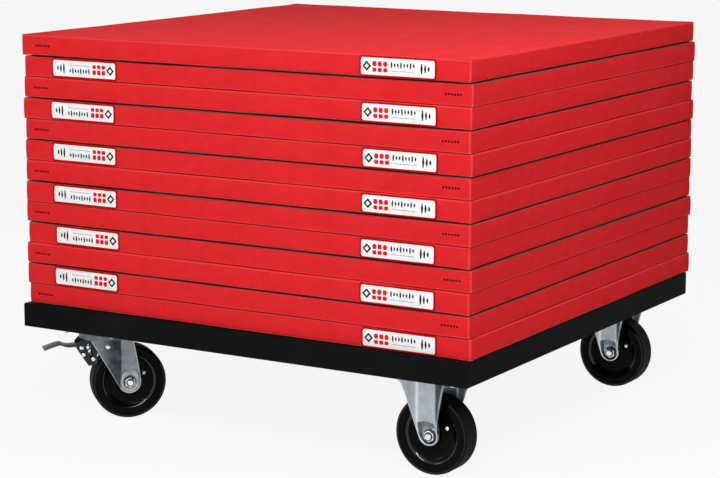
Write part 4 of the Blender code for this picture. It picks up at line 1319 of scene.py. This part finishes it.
    def build_brake(self) -> None:
        """Makes the pedal, the shoe and their pins."""
        dark, bright = (Finish.ZINC_DARK,), (Finish.ZINC_BRIGHT,)
        pedal, shoe = (self.base @ shift(x, 0, z) for x, z in (self.pedal_pivot, self.shoe_pivot))
        mesh = BrakePedal().mesh()
        self.add("foot_pedal", mesh, pedal, dark, f"{self.prefix}_pedal", "brake_pedal")
        self.add("cam_shoe", self.shoe_mesh(12.5), shoe, dark, f"{self.prefix}_shoe", "brake_shoe")
        for name, where in (("pedal_pin", pedal), ("shoe_pin", shoe)):
            pin = rivet(20.7, 4.5)
            pin.transform(ALONG_Y)
            self.add(f"{name}_headed", shade(pin), where, bright, self.fork_body, name)

    def shoe_mesh(self, reach: float, teeth: int = 8) -> bpy.types.Mesh:
        """Returns the brake shoe about its pivot, its lobe toothed where it bites the tread."""
        lobe: list[Point2] = []
        for step in range(teeth + 1):
            angle = math.radians(-76 + 32 * step / teeth)
            radius = reach - (0.7 if step % 2 else 0)
            lobe.append((radius * math.cos(angle), radius * math.sin(angle)))
        hub = arc((0, 0), 7.5, -4, 244, 24)
        mesh = plate("shoe", [lobe + hub, polygon(3.3, 20)], 33, 0.4, 1)
        mesh.transform(ALONG_Y)
        return shade(mesh, 30)


@dataclass(frozen=True)
class BrakePedal:
    """The foot pedal: a bent strip rolled round its pivot, with a ribbed tread at its tip.

    Its sizes are in millimetres.
    """

    width: float = 33
    sheet: float = 3
    hub: float = 6.5
    bore: float = 3.3
    edge: float = 0.8

    def line(self) -> list[Vector]:
        """Returns the strip's middle line in its side view, from the pivot to the tip."""
        knots = [(4.3, 4.8), (-17.7, 2.3), (-30.7, 3.3), (-42.7, 7.3), (-59.7, 3.3), (-74.7, -1.7)]
        points = [Vector(knot) for knot in knots]
        ends = [2 * points[0] - points[1], *points, 2 * points[-1] - points[-2]]
        line: list[Vector] = []
        for before, start, end, after in zip(ends, ends[1:], ends[2:], ends[3:]):
            square = 2 * before - 5 * start + 4 * end - after
            cube = 3 * start - before - 3 * end + after
            for step in range(6):
                t = step / 6
                line.append(0.5 * (2 * start + (end - before) * t + square * t * t + cube * t**3))
        line.append(points[-1])
        return line

    def mesh(self) -> bpy.types.Mesh:
        """Builds the pedal about its pivot."""
        upper: list[Point2] = []
        lower: list[Point2] = []
        line = self.line()
        for before, point, after in zip(line[:1] + line, line, line[1:] + line[-1:]):
            along = (after - before).normalized()
            across = Vector((-along.y, along.x)) * (self.sheet / 2)
            upper.append(tuple(point - across))
            lower.append(tuple(point + across))
        strip = plate("strip", [upper + lower[::-1]], self.width, self.edge)
        hub = plate("hub", [polygon(self.hub, 32), polygon(self.bore, 20)], self.width, self.edge)
        parts = [(strip, ALONG_Y), (hub, ALONG_Y)]
        for i in range(3):
            rib = plate("rib", [rounded_rectangle(1.6, self.width - 8, 0.7)], 1.0, 0.4)
            parts.append((rib, shift(-55 - 6 * i, 0, 6.4 - 2 * i)))
        return shade(joined("pedal", *parts), 40)


@dataclass(frozen=True)
class Deck:
    """The painted steel deck under the mats, whose nodes keep their shape."""

    edge: float = 0.8 * MM

    def nodes(self) -> list[str]:
        """Returns the names of the deck's nodes."""
        rails = [f"{side}_rail" for side in ("front", "right", "rear", "left")]
        members = [f"{side}_cross_member" for side in ("left", "right")]
        plates = [f"{end}_{side}_mount_plate" for side in ("left", "right") for end in ("front", "rear")]
        return ["deck_sheet", *rails, *members, *plates]

    def build(self) -> None:
        """Softens and paints each node."""
        for name in self.nodes():
            node = frame["nodes"][name]
            soften(node, self.edge)
            SHOP.dress(node, Finish.PAINT)
            LOG.info("%s is painted", name)


def soften(node: bpy.types.Object, width: float) -> None:
    """Rounds a carried-over node's edges and shades it smooth, with modifiers alone."""
    attributes = node.data.attributes
    for name in ("custom_normal", "sharp_edge"):
        if name in attributes:
            attributes.remove(attributes[name])
    node.data.polygons.foreach_set("use_smooth", [True] * len(node.data.polygons))
    modify(node, "weld", "WELD", merge_threshold=WELD)
    sharp = {"limit_method": "ANGLE", "angle_limit": math.radians(40), "harden_normals": True}
    modify(node, "edge", "BEVEL", width=width, segments=2, **sharp)


class Facing(Enum):
    """Which way up a mat lies."""

    UPRIGHT = 1
    FLIPPED = -1


@dataclass
class BoxGrid:
    """A mesh over the six faces of a flat box, with its own lines along the sides and up them."""

    places: list[float]
    levels: list[float]

    def mesh(self, shaped: Callable[[Vector], Vector]) -> bpy.types.Mesh:
        """Builds the mesh.

        Args:
            shaped: Gives the place of each point of the box.

        Returns:
            The mesh, whose points follow the order of self.keys.
        """
        bm = bmesh.new()
        made: dict[tuple[int, int, int], bmesh.types.BMVert] = {}

        def point(i: int, j: int, k: int) -> bmesh.types.BMVert:
            """Returns a point of the grid, which is made once."""
            if (i, j, k) not in made:
                box = Vector((self.places[i], self.places[j], self.levels[k]))
                made[(i, j, k)] = bm.verts.new(shaped(box))
            return made[(i, j, k)]

        last, top = len(self.places) - 1, len(self.levels) - 1
        for i in range(last):
            for j in range(last):
                for k, order in ((0, 1), (top, -1)):
                    ring = [(i, j), (i, j + 1), (i + 1, j + 1), (i + 1, j)]
                    bm.faces.new([point(u, v, k) for u, v in ring[::order]])
            for k in range(top):
                for at, order in ((0, 1), (last, -1)):
                    ring = [(i, k), (i + 1, k), (i + 1, k + 1), (i, k + 1)]
                    bm.faces.new([point(u, at, w) for u, w in ring[::order]])
                    bm.faces.new([point(at, u, w) for u, w in ring[::-order]])
        self.keys = list(made)
        return baked(bm, "cover")

    def cell(self, lines: list[float], value: float) -> tuple[int, float]:
        """Returns the cell that holds a value, and how far across the cell it lies."""
        index = min(max(bisect.bisect_right(lines, value) - 1, 0), len(lines) - 2)
        return index, (value - lines[index]) / (lines[index + 1] - lines[index])

    def blend(self, moves: dict[tuple[int, int, int], Vector], box: Vector) -> Vector:
        """Returns the move at a point of the box, blended from the moves of the grid's points."""
        cells = [self.cell(self.places, box.x), self.cell(self.places, box.y), self.cell(self.levels, box.z)]
        total = Vector((0, 0, 0))
        for step in itertools.product((0, 1), repeat=3):
            share = math.prod(at if d else 1 - at for d, (_, at) in zip(step, cells))
            if share > 1e-6:
                total += share * moves[tuple(index + d for d, (index, _) in zip(step, cells))]
        return total


@dataclass(frozen=True)
class MatCover:
    """The cover of a gym mat: coated fabric over the top and sides, grip cloth underneath."""

    size: float = 999 * MM
    thickness: float = 41 * MM
    corner: float = 3.4 * MM
    edge: float = 1.8 * MM
    wrap: float = 2.9 * MM
    swell: float = 0.7 * MM
    cloth_cap: float = 1.6 * MM
    cloth_frames: int = 20
    crease_seed: int = 11

    def mirrored(self, near: Sequence[float], count: int) -> list[float]:
        """Returns lines along a side: near each end at the given distances, and evenly between."""
        half = self.size / 2
        inner = half - near[-1]
        low = [-half + distance for distance in near[:-1]]
        middle = [-inner + 2 * inner * i / count for i in range(count + 1)]
        return low + middle + [-x for x in reversed(low)]

    def fine_grid(self) -> BoxGrid:
        """Returns the grid of the finished cover."""
        near = [0, 0.6, 1.2, 2.0, 3.0, 4.0, 5.5, 8, 12, 18, 26, 36]
        low = [0, 0.6, 1.2, 2.0, 3.0, 3.6, 4.4, 6, 9, 13, 17]
        levels = [z * MM for z in low] + [self.thickness - z * MM for z in reversed(low)]
        return BoxGrid(self.mirrored([d * MM for d in near], 62), levels)

    def cloth_grid(self) -> BoxGrid:
        """Returns the coarser grid that the cloth is simulated on."""
        near = [0, 7, 14, 21, 29, 38, 48, 60, 74, 90]
        levels = [self.thickness * step / 5 for step in range(6)]
        return BoxGrid(self.mirrored([d * MM for d in near], 32), levels)

    def simulated(self, grid: BoxGrid, seed: int) -> dict[tuple[int, int, int], Vector]:
        """Inflates a slack cover round its foam core.

        Args:
            grid: The grid of the cloth.
            seed: The number that sets this cover's first creases.
        """
        starts: list[Vector] = []
        # Unless it is set, and not to 0, noise_vector takes its offsets from the clock.
        noise.seed_set(self.crease_seed)

        def creased(box: Vector) -> Vector:
            """Returns a point of the box, moved by the first creases."""
            starts.append(box)
            offset = noise.noise_vector(Vector((box.x * 21, box.y * 21, box.z * 40 + 7 * seed)))
            return box + offset * 0.9 * MM

        piece = new_piece("slack_cloth", grid.mesh(creased))
        held = piece.vertex_groups.new(name="held")
        for index, box in enumerate(starts):
            rim = self.size / 2 - max(abs(box.x), abs(box.y))
            flat = box.z in (grid.levels[0], grid.levels[-1])
            held.add([index], smooth_step(rim, 20 * MM, 90 * MM) if flat else 0.0, "REPLACE")
        cloth = modify(piece, "cloth", "CLOTH")
        stiffness = {"tension_stiffness": 22, "compression_stiffness": 12, "bending_stiffness": 0.3}
        filling = {"shrink_min": -0.012, "use_pressure": True, "uniform_pressure_force": 4}
        assign(cloth.settings, quality=6, mass=0.3, vertex_group_mass="held", **stiffness, **filling)
        cloth.settings.effector_weights.gravity = 0
        cloth.collision_settings.use_collision = False
        cloth.point_cache.frame_end = self.cloth_frames
        for step in range(1, self.cloth_frames + 1):
            bpy.context.scene.frame_set(step)
        mesh = applied(piece)
        moves = {}
        for key, box, vertex in zip(grid.keys, starts, mesh.vertices):
            move = vertex.co - box
            length = move.length
            moves[key] = move * (self.cloth_cap * math.tanh(length / self.cloth_cap) / max(length, 1e-9))
        bpy.data.meshes.remove(mesh)
        bpy.context.scene.frame_set(1)
        return moves

    def mesh(self, seed: int) -> bpy.types.Mesh:
        """Builds one cover with its own slack and waviness, grip side down on z = 0."""
        cloth = self.cloth_grid()
        moves = self.simulated(cloth, seed)

        def shaped(box: Vector) -> Vector:
            """Returns where a point of the box lies on the finished cover."""
            where = self.shaped(box, seed)
            if moves:
                move = cloth.blend(moves, box)
                move.z *= 0.4
                where += move
            where.z = min(max(where.z, 0.0), self.thickness)
            return where

        mesh = self.fine_grid().mesh(shaped)
        half = self.size / 2
        for face in mesh.polygons:
            to_corner = half - min(abs(face.center.x), abs(face.center.y))
            height = self.wrap * (0.72 + 0.28 * smooth_step(to_corner, 6 * MM, 110 * MM))
            height *= 1 + 0.5 * noise.noise(Vector((face.center.x * 4, face.center.y * 4, seed * 2.3)))
            face.material_index = 1 if face.center.z < height else 0
        mesh.shade_smooth()
        return mesh

    def shaped(self, box: Vector, seed: int) -> Vector:
        """Returns where a point of the plain box lies on the rounded, slack cover.

        Args:
            box: The point on the box.
            seed: The number that sets this cover's slack.

        Returns:
            The point on the cover.
        """
        half = self.size / 2
        inner = half - self.corner
        core = Vector((min(max(box.x, -inner), inner), min(max(box.y, -inner), inner), 0))
        out = Vector((box.x - core.x, box.y - core.y, 0))
        ring = max(abs(out.x), abs(out.y))
        normal = out.normalized() if ring > 0 else out
        inset = self.corner - ring if ring > 0 else min(half - abs(box.x), half - abs(box.y))
        middle = self.thickness / 2
        lid = 1 if box.z > middle else -1
        from_lid = middle - abs(box.z - middle)
        reach, z = ring, box.z
        if ring > 0 and inset < self.edge and from_lid < self.edge:
            side, up = self.edge - inset, self.edge - from_lid
            scale = max(side, up) / math.hypot(side, up)
            reach = ring - side + side * scale
            z += lid * (up * scale - up)
        where = core + normal * reach
        if ring > 0:
            where += normal * self.side_slack(where, z, inset, seed)
        where.z = z + self.lid_slack(where, from_lid, lid, seed)
        return where

    def side_slack(self, where: Vector, z: float, inset: float, seed: int) -> float:
        """Returns how far a side stands out of its plane."""
        share = 1 - (2 * z / self.thickness - 1) ** 2
        wave = noise.noise(Vector((where.x * 5, where.y * 5, seed * 3.7))) * 0.6 * MM
        ripple = noise.noise(Vector((where.x * 24, where.y * 24, z * 30 + seed))) * 0.45 * MM
        groove = math.exp(-(((z - self.wrap - 0.35 * MM) / (0.5 * MM)) ** 2)) * 0.6 * MM
        fade = 1 - smooth_step(inset, 0, self.corner)
        return (self.swell * share - 0.3 * MM + wave + ripple * share - groove) * fade

    def lid_slack(self, where: Vector, from_lid: float, lid: int, seed: int) -> float:
        """Returns how far the top or bottom lies from its plane, always towards the middle."""
        rim = self.size / 2 - max(abs(where.x), abs(where.y))
        near = 1 - smooth_step(rim, 0, 30 * MM)
        along = Vector((where.x, where.y, seed * 1.9 + lid))
        to_corner = self.size / 2 - min(abs(where.x), abs(where.y))
        drop = max(0.75 + 0.9 * noise.noise(along * 7.0), 0.2) * MM
        drop *= 0.15 + 0.85 * smooth_step(to_corner, 3 * MM, 40 * MM)
        share = max(1 - from_lid / (self.thickness / 2), 0)
        wave = (0.25 + 0.25 * noise.noise(along * 4.0)) * MM
        return -lid * share * (near * drop + wave * (1 - near))


@dataclass
class Mat:
    """One mat of the stack, with its label and vents on the front."""

    number: int
    facing: Facing
    vent_inset: float
    label_length: float = 150 * MM
    label_height: float = 30.6 * MM
    label_inset: float = 73 * MM
    vent_pitch: float = 6.2 * MM
    vent_count: int = 6

    def build(self, cover: bpy.types.Mesh) -> None:
        """Places a cover as this mat, and adds what is on its front.

        Args:
            cover: The cover's mesh, grip side down on z = 0.
        """
        node = f"mat_{self.number:02d}"
        low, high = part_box(node)
        centre = (low + high) / 2
        mesh = cover.copy()
        if self.facing is Facing.FLIPPED:
            mesh.transform(rotation(180, "X") @ Matrix.Translation((0, 0, -(high - low).z)))
        self.place = Matrix.Translation((centre.x, centre.y, low.z + 0.1 * MM))
        points, faces = [v.co.copy() for v in mesh.vertices], [p.vertices[:] for p in mesh.polygons]
        self.surface = BVHTree.FromPolygons(points, faces)
        self.middle = (high - low).z / 2
        finishes = (Finish.COVER, Finish.GRIP)
        add_piece(f"{node}_cover", mesh, self.place, finishes, node, "red_cover", node)
        hand = self.facing.value
        self.build_label(node, hand * (0.5 - self.label_inset - self.label_length / 2))
        self.build_vents(node, -hand * (0.5 - self.vent_inset))

    def drape(self, mesh: bpy.types.Mesh) -> bpy.types.Mesh:
        """Lays a flat mesh, drawn in X and Z with its height in -Y, on the front of the mat."""
        for vertex in mesh.vertices:
            hit = self.surface.ray_cast(Vector((vertex.co.x, -0.6, vertex.co.z)), Vector((0, 1, 0)))[0]
            vertex.co.y += hit.y if hit else -0.5
        return mesh

    def build_label(self, node: str, x: float) -> None:
        """Makes the printed label with a plain pattern of bars and blocks."""
        mesh = Label(self.label_length, self.label_height).mesh()
        if self.facing is Facing.FLIPPED:
            mesh.transform(rotation(180, "Y"))
        mesh.transform(Matrix.Translation((x, 0, self.middle)))
        inks = (Finish.VINYL, Finish.INK_DARK, Finish.INK_RED, Finish.INK_GREY, Finish.WELDED)
        add_piece(f"{node}_label", self.drape(mesh), self.place, inks, node, "red_cover")

    def build_vents(self, node: str, x: float) -> None:
        """Makes the row of small air vents: rings, each round a dark disc painted as the shade in its hole.
        """
        step = math.copysign(self.vent_pitch, x)
        parts: list[Part] = []
        for i in range(self.vent_count):
            ring = turned("ring", [(1, 0.5), (1.5, 0.7), (2, 0.45), (2.2, -0.4), (1, -0.4)], 16)
            # The hole is a dark disc of painted shade.
            hole = turned("hole", [(0, 0.12), (1.05, 0.12), (1.05, -0.3), (0, -0.3)], 12, closed=False)
            height = self.middle + 0.3 * MM * math.sin(2.1 * i)
            where = Matrix.Translation((x - step * i, 0, height)) @ ALONG_Y
            parts += [(ring, where), (paint_faces(hole, 1), where)]
        mesh = self.drape(shade(joined("vents", *parts)))
        add_piece(f"{node}_vents", mesh, self.place, (Finish.EYELET, Finish.HOLE), node, "red_cover")


@dataclass(frozen=True)
class Label:
    """A white label with a plain pattern, drawn in X and Z and facing -Y."""

    length: float
    height: float
    thickness: float = 0.95 * MM
    border: float = 7 * MM
    fine: tuple[int, int] = (40, 8)

    def mesh(self) -> bpy.types.Mesh:
        """Builds the label: its welded border, a patch and the patch's printed blocks."""
        border = (self.length + self.border, self.height + self.border)
        welded = self.slab((0, 0), border, self.thickness - 0.15 * MM, self.fine, 2.4 * MM)
        patch = self.slab((0, 0), (self.length, self.height), self.thickness, self.fine, 1.6 * MM)
        parts = [(paint_faces(welded, 4), STILL), (paint_faces(patch, 0), STILL)]
        for u, v, width, height, ink, cut in self.blocks():
            size = (width * self.length, height * self.height)
            rise = self.thickness + (0.15 if ink else 0.3) * MM
            middle = (u * self.length, v * self.height)
            block = self.slab(middle, size, rise, (2, 2), cut * min(size) / 2)
            parts.append((paint_faces(block, ink), STILL))
        return shade(joined("label", *parts), 40)

    def blocks(self) -> list[tuple[float, float, float, float, int, float]]:
        """Returns the printed blocks.

        Returns:
            For each block its middle and size as shares of the label, its ink, and the share
            of its shorter side that its corners are cut by.
        """
        diamond = self.height / self.length
        blocks = [(-0.42, 0.0, 0.6 * diamond, 0.6, 1, 1.0), (-0.42, 0.0, 0.3 * diamond, 0.3, 0, 1.0)]
        for i in range(3):
            blocks.append((-0.315 + 0.074 * i, 0.15, 0.06, 0.3, 2, 0.3))
            blocks.append((-0.315 + 0.074 * i, -0.2, 0.06, 0.24, 2, 0.3))
        for i in range(8):
            blocks.append((-0.08 + 0.043 * i, 0.13, 0.024, 0.22 if i % 3 else 0.34, 1, 0.5))
        blocks.append((0.07, -0.22, 0.32, 0.04, 3, 0.2))
        for i in range(3):
            blocks.append((0.325 + 0.048 * i, 0.0, 0.03, 0.6 - 0.16 * i, 1, 0.6))
        return blocks

    def slab(
        self,
        middle: Point2,
        size: Point2,
        rise: float,
        cells: tuple[int, int],
        corner: float,
    ) -> bpy.types.Mesh:
        """Returns a thin raised slab with cut corners that faces -Y.

        Args:
            middle: Its middle along the label and up it.
            size: Its width and height.
            rise: How far it stands proud.
            cells: The number of mesh columns and rows.
            corner: The size of its cut corners.

        Returns:
            The slab's mesh.
        """
        (x, z), (width, height), (columns, rows) = middle, size, cells
        bm = bmesh.new()
        grid = []
        for j in range(rows + 1):
            v = -height / 2 + height * j / rows
            half = width / 2 - max(corner - (height / 2 - abs(v)), 0)
            places = [x - half + 2 * half * i / columns for i in range(columns + 1)]
            grid.append([bm.verts.new((place, -rise, z + v)) for place in places])
        for lower, upper in zip(grid, grid[1:]):
            for i in range(columns):
                bm.faces.new([lower[i], lower[i + 1], upper[i + 1], upper[i]])
        rim = [edge for edge in bm.edges if edge.is_boundary]
        for element in bmesh.ops.extrude_edge_only(bm, edges=rim)["geom"]:
            if isinstance(element, bmesh.types.BMVert):
                element.co.y = 0.3 * MM
        bmesh.ops.recalc_face_normals(bm, faces=bm.faces)
        return baked(bm, "slab")


@dataclass
class Stack:
    """The pile of mats, laid face to face in turn."""

    count: int = 13
    cover: MatCover = field(default_factory=MatCover)
    kinds: int = 4
    turn_seed: int = 7

    def build(self) -> None:
        """Builds the covers, then the mats from the bottom up."""
        covers = [self.cover.mesh(seed) for seed in range(self.kinds)]
        turns = random.Random(self.turn_seed)
        for number in range(1, self.count + 1):
            from_top = self.count - number
            facing = Facing.FLIPPED if from_top % 2 else Facing.UPRIGHT
            cover = covers[number % self.kinds].copy()
            cover.transform(Matrix.Rotation(math.pi / 2 * turns.randrange(4), 4, "Z"))
            inset = (25 + (12 * math.exp(-from_top / 1.5) if facing is Facing.UPRIGHT else 0)) * MM
            Mat(number, facing, inset).build(cover)
            bpy.data.meshes.remove(cover)
        for cover in covers:
            bpy.data.meshes.remove(cover)


@dataclass(frozen=True)
class Lamp:
    """A soft lamp: its place, what it points at, its width and height, and its power in watts."""

    name: str
    place: Point3
    target: Point3
    size: Point2
    watts: float

    def build(self) -> None:
        """Adds the lamp."""
        data = bpy.data.lights.new(self.name, "AREA")
        assign(data, shape="RECTANGLE", size=self.size[0], size_y=self.size[1], energy=self.watts)
        way = Vector(self.target) - Vector(self.place)
        lamp = new_piece(self.name, data)
        assign(lamp, location=self.place, rotation_euler=way.to_track_quat("-Z", "Y").to_euler())


@dataclass(frozen=True)
class Studio:
    """The floor, the lights and the camera."""

    camera_place: Point3 = (2.2963, -3.8601, 1.1463)
    camera_tilt: float = 10.150
    camera_heading: float = 30.960
    camera_roll: float = -0.115
    lens: float = 110.38
    floor_size: float = 60.0
    floor_colour: Colour = (0.8, 0.8, 0.8)
    floor_white: float = 0.9
    ambient: float = 0.22
    lamps: tuple[Lamp, ...] = (
        Lamp("key", (1.0, -2.5, 2.3), (0.1, -0.3, 0.5), (2.8, 0.25), 61),
        Lamp("overhead", (0.5, -0.8, 2.9), (0.1, -0.1, 0.7), (1.8, 1.8), 15),
        Lamp("front_fill", (-2.2, -3.1, 1.4), (0.1, -0.4, 0.3), (0.9, 0.9), 11),
        Lamp("side_fill", (1.3, -0.35, 1.65), (0.5, 0, 0.72), (0.8, 0.8), 6.5),
    )

    def build(self) -> None:
        """Builds the studio: a wide strip as its key lamp, and softer lamps overhead and beside."""
        self.build_world()
        self.build_floor()
        for lamp in self.lamps:
            lamp.build()
        self.build_camera()

    def build_world(self) -> None:
        """Lights the object with a soft grey, and shows white behind it and in its gloss."""
        world = bpy.data.worlds.new("studio")
        bpy.context.scene.world = world
        graph = Graph(world, "Background")
        graph.finish(Color=(1.0, 1.0, 1.0), Strength=self.seen(graph) * (1 - self.ambient) + self.ambient)

    def seen(self, graph: Graph) -> Socket:
        """Returns 1 for a ray from the camera, a reflection or a clear material, and 0 for the rest."""
        path = graph.node("ShaderNodeLightPath")
        return path.greater(path.pick("Is Glossy Ray")).greater(path.pick("Is Transmission Ray"))

    def build_floor(self) -> None:
        """Lays a pale floor that keeps a faint shadow."""
        bm = bmesh.new()
        bmesh.ops.create_grid(bm, x_segments=4, y_segments=4, size=self.floor_size / 2)
        floor = new_piece("studio_floor", baked(bm, "floor"))
        graph = Graph.of_material("pale_floor")
        graph.finish(Base_Color=self.floor_colour, Roughness=0.9, Specular_IOR_Level=0.0)
        glow = graph.node("ShaderNodeEmission", None, {"Color": (1.0, 1.0, 1.0), "Strength": 1.0})
        diffuse = Socket(graph, graph.shader.outputs[0])
        share = self.seen(graph) * self.floor_white
        mix = graph.node("ShaderNodeMixShader", None, {0: share, 1: diffuse, 2: glow})
        graph.feed(graph.tree.nodes["Material Output"].inputs["Surface"], mix)
        floor.data.materials.append(graph.owner)

    def build_camera(self) -> None:
        """Places the camera where the photograph was taken from."""
        data = assign(bpy.data.cameras.new("camera"), lens=self.lens, sensor_width=36.0)
        camera = new_piece("camera", data)
        angles = (90 - self.camera_tilt, self.camera_roll, self.camera_heading)
        assign(camera, location=self.camera_place, rotation_euler=[math.radians(angle) for angle in angles])
        bpy.context.scene.camera = camera


def axle_frame(place: Vector, heading: float) -> Matrix:
    """Returns an axle's frame: X trails away from the king pin and Y runs along the axle."""
    return Matrix.Translation(place) @ Matrix.Rotation(heading, 4, "Z")


def build_casters() -> None:
    """Builds the two fixed casters on the right and the two swivel casters on the left."""
    for prefix in ("front_right", "rear_right"):
        axle = Joint(f"{prefix}_wheel_roll").place
        FixedCaster(prefix, f"{prefix}_wheel", "chassis", axle_frame(axle, 0.0), axle).build()
    for prefix in ("front_left", "rear_left"):
        axle = Joint(f"{prefix}_wheel_roll").place
        pin = Joint(f"{prefix}_swivel_turn").place
        heading = math.atan2(axle.y - pin.y, axle.x - pin.x)
        SwivelCaster(prefix, f"{prefix}_wheel", f"{prefix}_swivel", axle_frame(axle, heading), pin).build()


def main() -> None:
    """Builds the trolley's looks and the studio round it."""
    logging.basicConfig(level=logging.INFO, format="%(message)s")
    Deck().build()
    build_casters()
    Stack().build()
    Studio().build()
    bpy.context.scene.view_settings.view_transform = "Standard"


if __name__ == "__main__":
    main()
